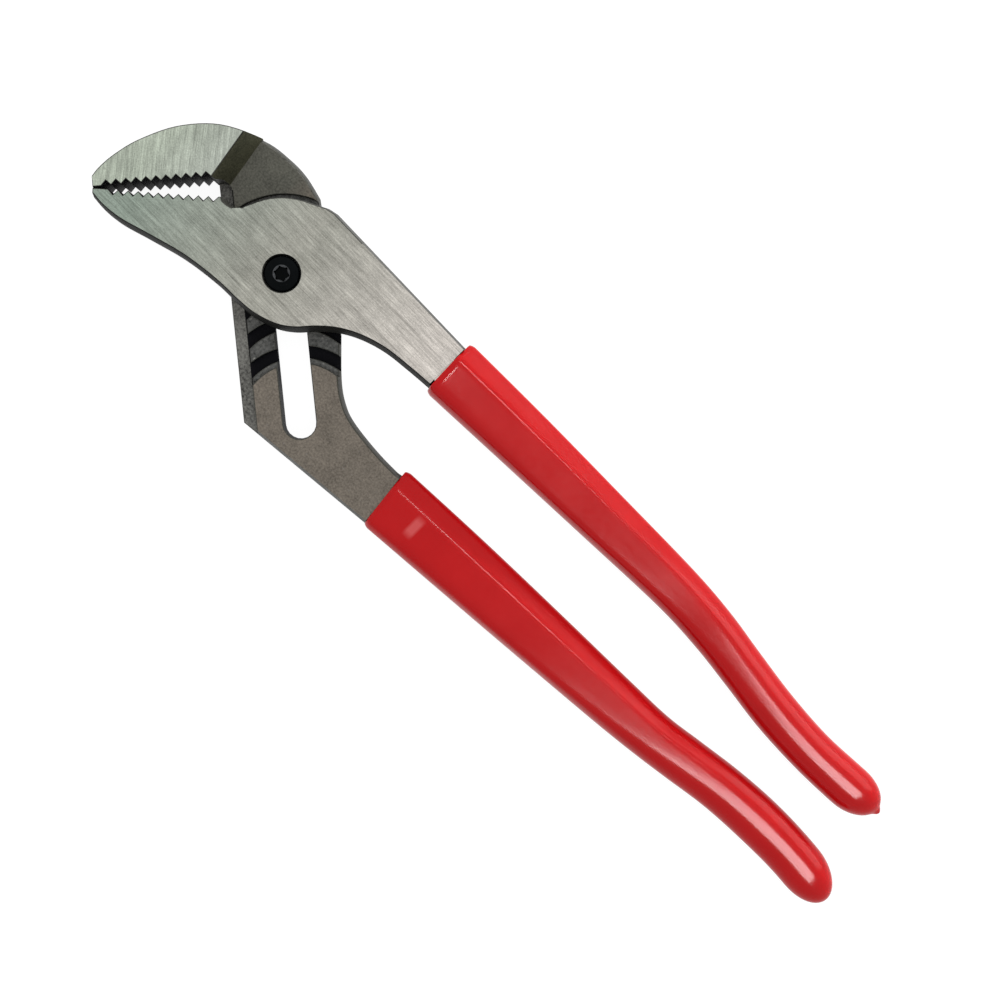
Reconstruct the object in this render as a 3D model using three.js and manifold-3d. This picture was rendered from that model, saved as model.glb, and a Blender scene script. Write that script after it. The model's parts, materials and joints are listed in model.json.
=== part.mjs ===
// Water pump pliers with a tongue and groove joint, shut on the first groove.
//
// Millimetres, +Z up. The tool lies on its back face: +X runs from the jaws to
// the handle ends and +Z leaves the face that shows the pivot screw. Everything
// is drawn from the pivot axis, and the finished group is moved so that its
// origin is the middle of the surface that it lies on.
//
// The rear lever carries the upper jaw, the slot and the grooves. The front
// lever carries the lower jaw and lies over the rear one. A screw and a barrel
// nut hold them together, and each handle wears a dipped vinyl grip.

import * as THREE from 'three';
import { mergeVertices } from 'three/addons/utils/BufferGeometryUtils.js';
import Module from 'manifold-3d';

const wasm = await Module();
wasm.setup();

// Lap joint, from the back face up
const PLATE_THICKNESS = 6.35;
const LAP_GAP = 0.3;
const FIT = 0.3;
const EDGE_DRAFT = 0.8;
const PARTING_BAND = 0.5;

// Slot and grooves of the rear lever
const SLOT_ANGLE = -39.13;
const SLOT_WIDTH = 8.3;
const SLOT_DRAFT = 0.7;
const GROOVE_COUNT = 6;
const GROOVE_PITCH = 7.28;
const PAD_DEPTH = 1.45;
const GROOVE_DEPTH = 1.6;
const PAD_TOP_RADIUS = 20.5;
const PAD_LOW_MARGIN = 1.4;
const LEDGE_OUTER = 14.1;
const LEDGE_WIDTH = 3.4;
const LEDGE_TOP_END = 25.0;
const LEDGE_CORNER_RADIUS = 2.4;
const LEDGE_LOW_END = 1.6;
const RECESS_MARGIN = 0.4;

// Tongue under the front lever's hub, and the hub's round edge
const HUB_RADIUS = 19.4;
const HUB_START_ANGLE = 112;
const HUB_END_ANGLE = 164;
const TONGUE_WIDTH = 2.4;
const TONGUE_EDGE_INSET = 0.4;
const TONGUE_LEFT_ANGLE = 25;
const TONGUE_RIGHT_ANGLE = 13;

// Jaws: both toothed faces start at the tips and open towards the throat
const JAW_TIP_X = -47.6;
const JAW_TIP_Y = -17.75;
const JAW_LINE_ANGLE = 45.4;
const JAW_WEDGE_ANGLE = 8.7;
const JAW_TIP_GAP = 0.3;
const TOOTH_PITCH = 2.46;
const TOOTH_DEPTH = 1.25;
const TOOTH_COUNT = 11;
const TOOTH_STOCK = 1.6;
const NOSE_OVERHANG = 0.8;
const UPPER_NOSE_DEPTH = 2.9;
const LOWER_NOSE_DEPTH = 1.5;
const UPPER_JAW_DEPTH = 13.9;
const LOWER_JAW_DEPTH = 15.45;
const UPPER_TOOTH_START = 2.1;
const LOWER_TOOTH_START = 3.8;
const LOWER_THROAT_FLAT = 0.8;
const RAMP_ANGLE = 9.4;
const RAMP_FOOT = 24.2;
const RAMP_RUN = 3.6;
const OPENING_STOP_ANGLE = 58;
const STOP_CLEARANCE = 0.5;

// Pivot screw and barrel nut
const SCREW_HEAD_DIAMETER = 8.7;
const SCREW_HEAD_DEPTH = 2.6;
const SCREW_DOME_HEIGHT = 0.5;
const SCREW_SHANK_DIAMETER = 4.8;
const SOCKET_ACROSS_FLATS = 3.2;
const SOCKET_DEPTH = 2.0;
const SOCKET_CHAMFER = 0.5;
const NUT_FLANGE_DIAMETER = 13.0;
const NUT_FLANGE_FLATS = 11.4;
const NUT_FLANGE_THICKNESS = 1.6;
const NUT_EDGE_CHAMFER = 0.3;
const SHANK_END_CHAMFER = 0.5;

// Handles and grips
const FRONT_MOUTH_X = 45.2;
const FRONT_MOUTH_TILT = 2;
const REAR_MOUTH_FROM_SLOT_END = 28.3;
const REAR_MOUTH_TILT = 6.5;
const MOUTH_TILT_FADE = 25;
const ROOT_PAST_MOUTH = 2;
const GRIP_WALL = 1.1;
const GRIP_THICKNESS = 11.0;
const GRIP_LIP_RADIUS = 0.8;
const GRIP_LIP_INSET = 0.5;
const FRONT_GRIP_LENGTH = 152.4;
const REAR_GRIP_LENGTH = 147.9;
const FRONT_GRIP_END_RADIUS = 9;
const REAR_GRIP_END_RADIUS = 10;
const TANG_STARTS_BEFORE_MOUTH = 9;
const TANG_ENTRY = 3;
const TANG_ROOT_INSET = 2;
const FRONT_GRIP_MIDDLE = 12.4;
const FRONT_GRIP_WIDTH = 17;
const FRONT_GRIP_SWAY = 4.8;
const FRONT_NECK_WIDTH = 13.3;
const REAR_GRIP_MIDDLE = 1.45;
const REAR_GRIP_WIDTH = 18;
const REAR_GRIP_SWAY = 9.1;
const REAR_NECK_WIDTH = 14.6;
const REAR_NECK_MIDDLE = 1.1;
const BACK_RELIEF_RUN = 13;

// Levels and places that follow from the sizes above
const FRONT_BACK = PLATE_THICKNESS + LAP_GAP;
const JOINT_THICKNESS = FRONT_BACK + PLATE_THICKNESS;
const PAD_LEVEL = PLATE_THICKNESS - PAD_DEPTH;
const GROOVE_FLOOR = PAD_LEVEL - GROOVE_DEPTH;
const TRAVEL = (GROOVE_COUNT - 1) * GROOVE_PITCH;
const TONGUE_OUTER = HUB_RADIUS - TONGUE_EDGE_INSET;
const TONGUE_INNER = TONGUE_OUTER - TONGUE_WIDTH;
const BARREL_DIAMETER = SLOT_WIDTH - 2 * SLOT_DRAFT - 2 * FIT;
const GRIP_SKIN = GRIP_WALL + FIT;
const SLOT_TURN = THREE.MathUtils.degToRad(SLOT_ANGLE);
const SLOT_END = new THREE.Vector2(TRAVEL, 0).rotateAround(new THREE.Vector2(), SLOT_TURN);
const REAR_MOUTH_X = SLOT_END.x + REAR_MOUTH_FROM_SLOT_END;

// Room that a cutter reaches past what it cuts
const PAST = 1;
const FAR = 150;
const CURVE_STEPS = 5;
const GRIP_SECTION_POINTS = 36;

// Section of a grip, in shares of its half width and half thickness: a flat top
// between two ridges, sides that slope out to a shoulder, and rounder to the end
const GRIP_RIDGE_INNER = 0.72;
const GRIP_RIDGE_OUTER = 0.42;
const GRIP_SHOULDER = 0.25;
const GRIP_EDGE_SHARPNESS = 24;
const GRIP_ROUND_FROM = 0.3;
const GRIP_ROUND_TO = 0.8;
const END_ROUND_ANGLES = [30, 55, 75, 86];
const ROUND_STEPS = 40;

const radians = THREE.MathUtils.degToRad;
const point = (x, y) => new THREE.Vector2(x, y);
const fromSlotEnd = (x, y) => point(SLOT_END.x + x, SLOT_END.y + y);
const hubPoint = (x, y) => point(x * HUB_RADIUS, y * HUB_RADIUS);
const turned = (v, angle) => v.clone().rotateAround(new THREE.Vector2(), angle);

// Closed solid of a three.js geometry, for joining and cutting.
function solid(geometry) {
  const bare = geometry.clone();
  bare.deleteAttribute('normal');
  bare.deleteAttribute('uv');
  const merged = mergeVertices(bare, 1e-5);
  return new wasm.Manifold(new wasm.Mesh({
    numProp: 3,
    vertProperties: new Float32Array(merged.attributes.position.array),
    triVerts: new Uint32Array(merged.index.array),
  }));
}

// three.js geometry of a finished solid.
function geometryOf(body) {
  const mesh = body.getMesh();
  const geometry = new THREE.BufferGeometry();
  geometry.setAttribute('position', new THREE.BufferAttribute(mesh.vertProperties, mesh.numProp));
  geometry.setIndex(new THREE.BufferAttribute(mesh.triVerts, 1));
  geometry.computeVertexNormals();
  return geometry;
}

// Straight prism of a shape between two heights, turned about the pivot axis.
function prism(shape, low, high, turn = 0) {
  const geometry = new THREE.ExtrudeGeometry(shape, {
    depth: high - low, bevelEnabled: false, curveSegments: CURVE_STEPS * 4,
  });
  geometry.translate(0, 0, low);
  geometry.rotateZ(turn);
  return solid(geometry);
}

// Forged blank: a plate with draft from its parting band to both faces.
function forging(shape, low, high, draft = EDGE_DRAFT) {
  const slope = (high - low - PARTING_BAND) / 2;
  const geometry = new THREE.ExtrudeGeometry(shape, {
    depth: PARTING_BAND, bevelEnabled: true, bevelSegments: 1, bevelThickness: slope,
    bevelSize: draft, bevelOffset: -draft, curveSegments: CURVE_STEPS,
  });
  geometry.translate(0, 0, low + slope);
  return solid(geometry);
}

// Solid of revolution about the pivot axis, from its half section.
function revolved(halfSection) {
  const geometry = new THREE.LatheGeometry(halfSection.map(([r, z]) => point(r, z)), ROUND_STEPS);
  geometry.rotateX(Math.PI / 2);
  return solid(geometry);
}

// Closed loft through rings that have the same number of points.
function loft(rings) {
  const count = rings[0].length;
  const vertices = [];
  const faces = [];
  for (const ring of rings) {
    for (const p of ring) vertices.push(p.x, p.y, p.z);
  }
  for (let i = 0; i < rings.length - 1; i += 1) {
    for (let j = 0; j < count; j += 1) {
      const a = i * count + j;
      const b = i * count + ((j + 1) % count);
      faces.push(a, b, a + count, b, b + count, a + count);
    }
  }
  const addCap = (ring, start, flip) => {
    const centre = ring.reduce((sum, p) => sum.add(p), new THREE.Vector3()).divideScalar(count);
    const hub = vertices.length / 3;
    vertices.push(centre.x, centre.y, centre.z);
    for (let j = 0; j < count; j += 1) {
      const a = start + j;
      const b = start + ((j + 1) % count);
      faces.push(hub, flip ? b : a, flip ? a : b);
    }
  };
  addCap(rings[0], 0, true);
  addCap(rings[rings.length - 1], (rings.length - 1) * count, false);
  const geometry = new THREE.BufferGeometry();
  geometry.setAttribute('position', new THREE.Float32BufferAttribute(vertices, 3));
  geometry.setIndex(faces);
  return solid(geometry);
}

// Slot-shaped outline along the slot, of a given width.
function stadium(width) {
  const r = width / 2;
  const shape = new THREE.Shape();
  shape.absarc(TRAVEL, 0, r, -Math.PI / 2, Math.PI / 2, false);
  shape.absarc(0, 0, r, Math.PI / 2, (3 * Math.PI) / 2, false);
  return shape;
}

// Band between two radii about a pivot place on the slot, on its jaw side.
function arcBand(place, inner, outer, fromAngle, toAngle) {
  const shape = new THREE.Shape();
  shape.absarc(place, 0, outer, Math.PI + fromAngle, Math.PI + toAngle, false);
  shape.absarc(place, 0, inner, Math.PI + toAngle, Math.PI + fromAngle, true);
  return shape;
}

// Teeth of one jaw: start of the face, its direction, and the side to cut.
function jawFace(isUpper) {
  const side = isUpper ? 1 : -1;
  const angle = radians(JAW_LINE_ANGLE + (side * JAW_WEDGE_ANGLE) / 2);
  const along = point(Math.cos(angle), Math.sin(angle));
  const inward = point(-along.y, along.x).multiplyScalar(side);
  const tip = point(JAW_TIP_X, JAW_TIP_Y).addScaledVector(inward, JAW_TIP_GAP / 2);
  const at = (distance, depth) => tip.clone().addScaledVector(along, distance).addScaledVector(inward, depth);
  return { at };
}

// Cutter that machines one jaw's face square to its sides, with its V notches.
function toothCutter(isUpper, length) {
  const { at } = jawFace(isUpper);
  const start = isUpper ? UPPER_TOOTH_START : LOWER_TOOTH_START;
  const before = -2 * TOOTH_STOCK;
  const outline = [at(before, 0)];
  for (let i = 0; i < TOOTH_COUNT; i += 1) {
    outline.push(at(start + i * TOOTH_PITCH, 0));
    outline.push(at(start + (i + 0.5) * TOOTH_PITCH, TOOTH_DEPTH));
  }
  outline.push(at(start + TOOTH_COUNT * TOOTH_PITCH, 0));
  outline.push(at(length, 0), at(length, before), at(before, before));
  return prism(new THREE.Shape(outline), -PAST, JOINT_THICKNESS + PAST);
}

// Length of the upper jaw's face, from its tip to the line of the ledge.
function upperFaceLength() {
  const { at } = jawFace(true);
  const tip = turned(at(0, 0), -SLOT_TURN);
  const next = turned(at(1, 0), -SLOT_TURN);
  return (-LEDGE_OUTER - tip.y) / (next.y - tip.y);
}

// Length of the lower jaw's face, which ends in a short flat after its last tooth.
const lowerFaceLength = LOWER_TOOTH_START + TOOTH_COUNT * TOOTH_PITCH + LOWER_THROAT_FLAT;

// Outline of the rear lever: upper jaw, slotted plate and the handle's root.
// The jaw's back is given in shares of its face and depth, the plate's edge in
// shares of the way from the slot's end to the grip.
function rearOutline() {
  const { at } = jawFace(true);
  const reach = upperFaceLength();
  const back = (along, depth) => at(along * reach, depth * UPPER_JAW_DEPTH);
  const run = REAR_MOUTH_FROM_SLOT_END;
  const edge = (x, y) => fromSlotEnd(x * run, y * run);
  const end = run + ROOT_PAST_MOUTH;
  const neck = (side) => fromSlotEnd(end, REAR_NECK_MIDDLE + (side * REAR_NECK_WIDTH) / 2);
  const corner = turned(point(TRAVEL - LEDGE_LOW_END, -LEDGE_OUTER), SLOT_TURN);
  const shape = new THREE.Shape([
    at(-NOSE_OVERHANG, -TOOTH_STOCK), at(reach, -TOOTH_STOCK), corner, neck(-1), neck(1),
  ]);
  shape.splineThru([
    edge(0.696, 0.297), edge(0.339, 0.336), edge(0.155, 0.403), edge(-0.021, 0.53), edge(-0.293, 0.799),
  ]);
  const underHub = hubPoint(-0.4, 1.03);
  shape.lineTo(underHub.x, underHub.y);
  shape.splineThru([
    back(1.738, -0.03), back(1.615, 0.3), back(1.42, 0.665), back(1.09, 0.968), back(0.735, 1),
    back(0.403, 0.817), back(0.186, 0.591), back(0.046, 0.376), at(-NOSE_OVERHANG, UPPER_NOSE_DEPTH),
  ]);
  return shape;
}

// Outline of the front lever: lower jaw, hub and the handle's root.
// The jaw's belly is given in shares of its face and depth, the hub in hub
// radii and the neck in shares of the way to the grip.
function frontOutline() {
  const { at } = jawFace(false);
  const hubStart = radians(HUB_START_ANGLE);
  const hubEnd = radians(HUB_END_ANGLE);
  const belly = (along, depth) => at(along * lowerFaceLength, depth * LOWER_JAW_DEPTH);
  const neckLow = FRONT_GRIP_MIDDLE - FRONT_NECK_WIDTH / 2;
  const neck = (x, y) => point(x * FRONT_MOUTH_X, y * neckLow);
  const shape = new THREE.Shape([at(-NOSE_OVERHANG, -TOOTH_STOCK), at(-NOSE_OVERHANG, LOWER_NOSE_DEPTH)]);
  shape.splineThru([
    belly(0.079, 0.307), belly(0.224, 0.507), belly(0.439, 0.711), belly(0.727, 1),
    hubPoint(-0.526, -0.675), hubPoint(-0.155, -0.665), hubPoint(0.129, -0.634), hubPoint(0.418, -0.536),
    hubPoint(0.624, -0.392), hubPoint(0.794, -0.206), hubPoint(1, -0.026),
    neck(0.542, 0.4), neck(0.686, 0.748), neck(0.852, 0.904), point(FRONT_MOUTH_X + FIT, neckLow),
  ]);
  shape.lineTo(FRONT_MOUTH_X + FIT, neckLow + FRONT_NECK_WIDTH);
  const shoulder = [hubPoint(0.464, 1.03), hubPoint(-0.07, 1.043), hubPoint(-0.2, 1.015)];
  for (const p of shoulder) shape.lineTo(p.x, p.y);
  shape.absarc(0, 0, HUB_RADIUS, hubStart, hubEnd, false);
  const throat = turned(point(HUB_RADIUS, 0), hubEnd);
  const way = at(lowerFaceLength, 0).sub(throat);
  const notch = (share, bow) => point(
    throat.x + share * way.x - bow * way.y, throat.y + share * way.y + bow * way.x,
  );
  shape.splineThru([notch(0.232, 0.109), notch(0.483, 0.167), notch(0.816, 0.067)]);
  const stock = at(lowerFaceLength, -TOOTH_STOCK);
  shape.lineTo(stock.x, stock.y);
  return shape;
}

const HALF_GRIP = GRIP_THICKNESS / 2;
const FRONT_LIFT = JOINT_THICKNESS + GRIP_SKIN - GRIP_THICKNESS;
const REAR_MOUTH_HALF = (PLATE_THICKNESS + GRIP_SKIN) / 2;

// A handle's grip: its own sizes, with smooth curves for its middle and half sizes.
// Rows, in shares: length, sway of the middle, half width, change from the mouth's section to the full one.
function gripForm(sizes, rows) {
  const { lerp } = THREE.MathUtils;
  const middle = rows.map(([along, sway, , full]) => new THREE.Vector3(
    along * sizes.length, sizes.middle + sway * sizes.sway, lerp(sizes.mouthHeight, HALF_GRIP, full),
  ));
  const size = rows.map(([, , width, full]) => new THREE.Vector3(
    (width * sizes.width) / 2, lerp(sizes.mouthHalf, HALF_GRIP, full), 0,
  ));
  const curve = (points) => new THREE.CatmullRomCurve3(points, false, 'catmullrom', 0.5);
  return { ...sizes, curves: { middle: curve(middle), size: curve(size) } };
}

const frontGrip = gripForm({
  mouth: FRONT_MOUTH_X,
  tilt: FRONT_MOUTH_TILT,
  length: FRONT_GRIP_LENGTH,
  endRadius: FRONT_GRIP_END_RADIUS,
  middle: FRONT_GRIP_MIDDLE,
  sway: FRONT_GRIP_SWAY,
  width: FRONT_GRIP_WIDTH,
  mouthHeight: HALF_GRIP + FRONT_LIFT,
  mouthHalf: HALF_GRIP,
}, [
  [0, 0, 1, 0], [0.171, 0.135, 0.94, 0.38], [0.341, 0.229, 0.857, 0.75], [0.512, 0.312, 0.762, 1],
  [0.604, 0.156, 0.726, 1], [0.682, -0.167, 0.696, 1], [0.768, -0.531, 0.685, 1],
  [0.853, -0.688, 0.667, 1], [0.925, -0.615, 0.679, 1], [1, -0.458, 0.679, 1],
]);

const rearGrip = gripForm({
  mouth: REAR_MOUTH_X,
  tilt: REAR_MOUTH_TILT,
  length: REAR_GRIP_LENGTH,
  endRadius: REAR_GRIP_END_RADIUS,
  middle: SLOT_END.y + REAR_GRIP_MIDDLE,
  sway: REAR_GRIP_SWAY,
  width: REAR_GRIP_WIDTH,
  mouthHeight: REAR_MOUTH_HALF,
  mouthHalf: REAR_MOUTH_HALF,
}, [
  [0, 0, 1, 0], [0.169, 0.17, 0.955, 0.754], [0.338, 0.319, 0.876, 1], [0.507, 0.472, 0.77, 1],
  [0.595, 0.577, 0.708, 1], [0.663, 0.731, 0.702, 1], [0.744, 0.918, 0.691, 1],
  [0.825, 1, 0.697, 1], [0.906, 0.984, 0.68, 1], [1, 0.835, 0.674, 1],
]);

// Sides of a grip's section by its mouth, each a direction scaled so that the side lies at 1.
function sectionSides() {
  const slope = (ridge, side, face) => {
    const reach = (1 - GRIP_SHOULDER) * ridge + (1 - ridge);
    return point((side * (1 - GRIP_SHOULDER)) / reach, (face * (1 - ridge)) / reach);
  };
  const sides = [point(1, 0), point(-1, 0), point(0, 1), point(0, -1)];
  for (const face of [-1, 1]) sides.push(slope(GRIP_RIDGE_OUTER, 1, face), slope(GRIP_RIDGE_INNER, -1, face));
  return sides;
}

const GRIP_SIDES = sectionSides();

// How far a grip's section reaches in a direction: flat sides with soft edges that turn round along it.
function sectionReach(direction, share) {
  const power = GRIP_EDGE_SHARPNESS;
  const sum = GRIP_SIDES.reduce((total, side) => total + Math.max(0, side.dot(direction)) ** power, 0);
  const roundness = THREE.MathUtils.smoothstep(share, GRIP_ROUND_FROM, GRIP_ROUND_TO);
  return THREE.MathUtils.lerp(sum ** (-1 / power), 1, roundness);
}

// One ring of a grip, in the plane across the handle, drawn in by an inset.
function gripRing(grip, t, inset, shrink = 1, shift = 0) {
  const { x, y, z } = grip.curves.middle.getPoint(t);
  const size = grip.curves.size.getPoint(t);
  const lean = Math.tan(radians(grip.tilt)) * Math.max(0, 1 - x / MOUTH_TILT_FADE);
  const ring = [];
  for (let j = 0; j < GRIP_SECTION_POINTS; j += 1) {
    const a = (2 * Math.PI * (j + 0.5)) / GRIP_SECTION_POINTS;
    const direction = point(Math.cos(a), Math.sin(a));
    const reach = shrink * sectionReach(direction, x / grip.length);
    const across = (size.x - inset) * reach * direction.x;
    const up = (size.y - inset) * reach * direction.y;
    ring.push(new THREE.Vector3(grip.mouth + x + shift - lean * across, y + across, z + up));
  }
  return ring;
}

// Where along the curves' parameter a distance from the mouth lies.
function gripParameter(grip, distance) {
  let low = 0;
  let high = 1;
  for (let i = 0; i < 30; i += 1) {
    const mid = (low + high) / 2;
    if (grip.curves.middle.getPoint(mid).x < distance) low = mid;
    else high = mid;
  }
  return (low + high) / 2;
}

// Lofted handle form from a start distance to a rounded end, inset all round.
function handleForm(grip, start, inset, steps, lip) {
  const end = grip.length - inset;
  const round = grip.endRadius - inset;
  const body = end - round;
  const rings = [];
  if (lip > 0) rings.push(gripRing(grip, 0, inset + GRIP_LIP_INSET));
  for (let i = 0; i <= steps; i += 1) {
    const from = Math.max(start, 0) + lip;
    const t = gripParameter(grip, from + ((body - from) * i) / steps);
    rings.push(gripRing(grip, t, inset));
  }
  for (const angle of END_ROUND_ANGLES) {
    const t = gripParameter(grip, body + round * Math.sin(radians(angle)));
    rings.push(gripRing(grip, t, inset, Math.cos(radians(angle))));
  }
  if (start < 0) rings.unshift(gripRing(grip, 0, inset, 1, start));
  return loft(rings);
}

// Steel core of a handle: it leaves the forged root slimmer and swells inside the grip.
function tang(grip, rootLow, rootHigh) {
  const core = handleForm(grip, TANG_ENTRY, GRIP_SKIN, 16, 0);
  const entry = gripRing(grip, gripParameter(grip, TANG_ENTRY), GRIP_SKIN);
  const { y, z } = grip.curves.middle.getPoint(0);
  const size = grip.curves.size.getPoint(0);
  const slim = (size.x - GRIP_SKIN - TANG_ROOT_INSET) / (size.x - GRIP_SKIN);
  const flat = ((rootHigh - rootLow) / 2 - FIT) / (size.y - GRIP_SKIN);
  const root = gripRing(grip, 0, GRIP_SKIN).map((p) => new THREE.Vector3(
    p.x - TANG_STARTS_BEFORE_MOUTH, y + (p.y - y) * slim, (rootLow + rootHigh) / 2 + (p.z - z) * flat,
  ));
  return core.add(loft([root, entry]));
}

// Dipped sleeve, open at its mouth.
function vinylGrip(grip) {
  const outer = handleForm(grip, 0, 0, 22, GRIP_LIP_RADIUS);
  const bore = handleForm(grip, -PAST, GRIP_WALL, 16, 0);
  return outer.subtract(bore);
}

// Half space past the tilted mouth of a grip, which trims a lever's forged root.
function pastMouth(grip) {
  const { y } = grip.curves.middle.getPoint(0);
  const lean = Math.tan(radians(grip.tilt));
  const edge = (across) => point(grip.mouth - FIT - lean * across, y + across);
  const shape = new THREE.Shape([edge(-FAR), point(2 * FAR, -FAR), point(2 * FAR, FAR), edge(FAR)]);
  return prism(shape, -FAR, FAR);
}

// Outline in the plane of a direction and Z, drawn across the whole part.
function crossCutter(profile, turn) {
  const geometry = new THREE.ExtrudeGeometry(new THREE.Shape(profile), {
    depth: 2 * FAR, bevelEnabled: false,
  });
  geometry.translate(0, 0, -FAR);
  geometry.rotateX(Math.PI / 2);
  geometry.rotateZ(turn);
  return solid(geometry);
}

// Everything above the rear plate on the handle side of the jaw's ramp.
function rampCutter() {
  const slope = RAMP_RUN / (JOINT_THICKNESS - PLATE_THICKNESS);
  return crossCutter([
    point(-RAMP_FOOT, PLATE_THICKNESS), point(-RAMP_FOOT, -PAST), point(FAR, -PAST),
    point(FAR, JOINT_THICKNESS + PAST),
    point(-RAMP_FOOT - RAMP_RUN - slope * PAST, JOINT_THICKNESS + PAST),
  ], radians(RAMP_ANGLE));
}

// Recess that the tongue travels in, from the first groove to the last.
function padCutter() {
  const inner = TONGUE_INNER - FIT;
  const reach = inner - RECESS_MARGIN;
  const top = Math.asin(reach / PAD_TOP_RADIUS);
  const bottom = inner - PAD_LOW_MARGIN;
  const low = Math.asin((bottom - RECESS_MARGIN) / bottom);
  const shape = new THREE.Shape();
  shape.absarc(0, 0, PAD_TOP_RADIUS, Math.PI - top, Math.PI + top, false);
  shape.absarc(TRAVEL, 0, bottom, Math.PI + low, Math.PI - low, true);
  return prism(shape, PAD_LEVEL, JOINT_THICKNESS, SLOT_TURN);
}

// One groove, concentric with its pivot place and open at both edges.
function grooveCutter(index) {
  const inner = TONGUE_INNER - FIT;
  const outer = TONGUE_OUTER + FIT;
  const spread = Math.asin((inner - RECESS_MARGIN) / inner);
  const shape = arcBand(index * GROOVE_PITCH, inner, outer, -spread, spread);
  return prism(shape, GROOVE_FLOOR, PLATE_THICKNESS, SLOT_TURN);
}

// Low ledge along the slot's jaw edge, where the tongue swings out of its groove.
function ledgeCutter() {
  const wall = -(LEDGE_OUTER - LEDGE_WIDTH);
  const outside = -LEDGE_OUTER - 3 * LEDGE_WIDTH;
  const r = LEDGE_CORNER_RADIUS;
  const shape = new THREE.Shape();
  shape.moveTo(-LEDGE_TOP_END, outside);
  shape.lineTo(TRAVEL + LEDGE_OUTER, outside);
  shape.lineTo(TRAVEL + LEDGE_OUTER, wall);
  shape.lineTo(-LEDGE_TOP_END + r, wall);
  shape.absarc(-LEDGE_TOP_END + r, wall - r, r, Math.PI / 2, Math.PI, false);
  return prism(shape, GROOVE_FLOOR, JOINT_THICKNESS + PAST, SLOT_TURN);
}

// Gentle relief under the rear handle's root, so that the grip lies level.
function backRelief() {
  return crossCutter([
    point(REAR_MOUTH_X - BACK_RELIEF_RUN, 0), point(REAR_MOUTH_X - BACK_RELIEF_RUN, -PAST),
    point(FAR, -PAST), point(FAR, GRIP_SKIN), point(REAR_MOUTH_X, GRIP_SKIN),
  ], 0);
}

function rearLever() {
  const outline = rearOutline();
  const jaw = forging(outline, 0, JOINT_THICKNESS).subtract(rampCutter());
  const plate = forging(outline, 0, PLATE_THICKNESS);
  let body = jaw.add(plate).subtract(backRelief()).subtract(pastMouth(rearGrip));
  body = body.add(tang(rearGrip, GRIP_SKIN, PLATE_THICKNESS));
  body = body.subtract(padCutter()).subtract(ledgeCutter());
  for (let i = 0; i < GROOVE_COUNT; i += 1) body = body.subtract(grooveCutter(i));
  const flange = stadium(NUT_FLANGE_DIAMETER + 2 * FIT);
  const track = prism(flange, -PAST, NUT_FLANGE_THICKNESS + 2 * FIT, SLOT_TURN);
  const slot = forging(stadium(SLOT_WIDTH), -PAST / 2, 2 * PLATE_THICKNESS, SLOT_DRAFT)
    .rotate([0, 0, SLOT_ANGLE]);
  return body.subtract(track).subtract(slot).subtract(toothCutter(true, upperFaceLength()));
}

// Lower half of the front lever outside the jaw, back to the swing stop.
function lapCutter() {
  const stop = radians(OPENING_STOP_ANGLE);
  const shoulder = -(LEDGE_OUTER + STOP_CLEARANCE);
  const knee = point(shoulder * Math.tan(stop / 2), shoulder);
  const swing = point(Math.cos(stop), -Math.sin(stop)).multiplyScalar(FAR);
  const shape = new THREE.Shape([
    knee, knee.clone().add(swing), point(FAR, -FAR), point(FAR, FAR), point(-FAR, FAR), point(-FAR, shoulder),
  ]);
  return prism(shape, -PAST, FRONT_BACK, SLOT_TURN);
}

// Tongue on the front lever's underside, with its tip clear of the ribs.
function tongue() {
  const from = radians(-TONGUE_RIGHT_ANGLE);
  const shape = arcBand(0, TONGUE_INNER, TONGUE_OUTER, from, radians(TONGUE_LEFT_ANGLE));
  return prism(shape, PAD_LEVEL + FIT, FRONT_BACK + PAST, SLOT_TURN);
}

function frontLever() {
  let body = forging(frontOutline(), 0, JOINT_THICKNESS).subtract(lapCutter());
  body = body.subtract(pastMouth(frontGrip)).add(tang(frontGrip, FRONT_BACK, JOINT_THICKNESS));
  const bore = BARREL_DIAMETER / 2 + FIT;
  const seat = SCREW_HEAD_DIAMETER / 2 + FIT;
  const floor = JOINT_THICKNESS - SCREW_HEAD_DEPTH;
  const hole = revolved([
    [0, -PAST], [bore, -PAST], [bore, floor], [seat, floor],
    [seat, JOINT_THICKNESS + PAST], [0, JOINT_THICKNESS + PAST],
  ]);
  return body.add(tongue()).subtract(hole).subtract(toothCutter(false, lowerFaceLength + PAST));
}

// Button-head screw with a hexagon socket, seated in the front lever.
function pivotScrew() {
  const head = SCREW_HEAD_DIAMETER / 2;
  const shank = SCREW_SHANK_DIAMETER / 2;
  const seat = JOINT_THICKNESS - SCREW_HEAD_DEPTH + FIT;
  const crown = JOINT_THICKNESS + SCREW_DOME_HEIGHT;
  const rim = JOINT_THICKNESS - SCREW_DOME_HEIGHT;
  const tip = NUT_FLANGE_THICKNESS / 2;
  const edge = SHANK_END_CHAMFER;
  const section = [
    [0, tip], [shank - edge, tip], [shank, tip + edge], [shank, seat], [head, seat], [head, rim],
  ];
  for (const angle of [25, 50, 70]) {
    const a = radians(angle);
    section.push([head * Math.cos(a) ** 0.8, rim + (crown - rim) * Math.sin(a)]);
  }
  section.push([0, crown]);
  const corner = SOCKET_ACROSS_FLATS / Math.sqrt(3);
  const socket = new THREE.CylinderGeometry(corner, corner, SOCKET_DEPTH + PAST, 6).rotateX(Math.PI / 2);
  socket.translate(0, 0, crown - SOCKET_DEPTH + (SOCKET_DEPTH + PAST) / 2);
  const mouth = corner + SOCKET_CHAMFER;
  const chamfer = revolved([[0, crown - corner], [mouth + PAST, crown + PAST], [0, crown + PAST]]);
  return revolved(section).subtract(solid(socket)).subtract(chamfer);
}

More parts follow.
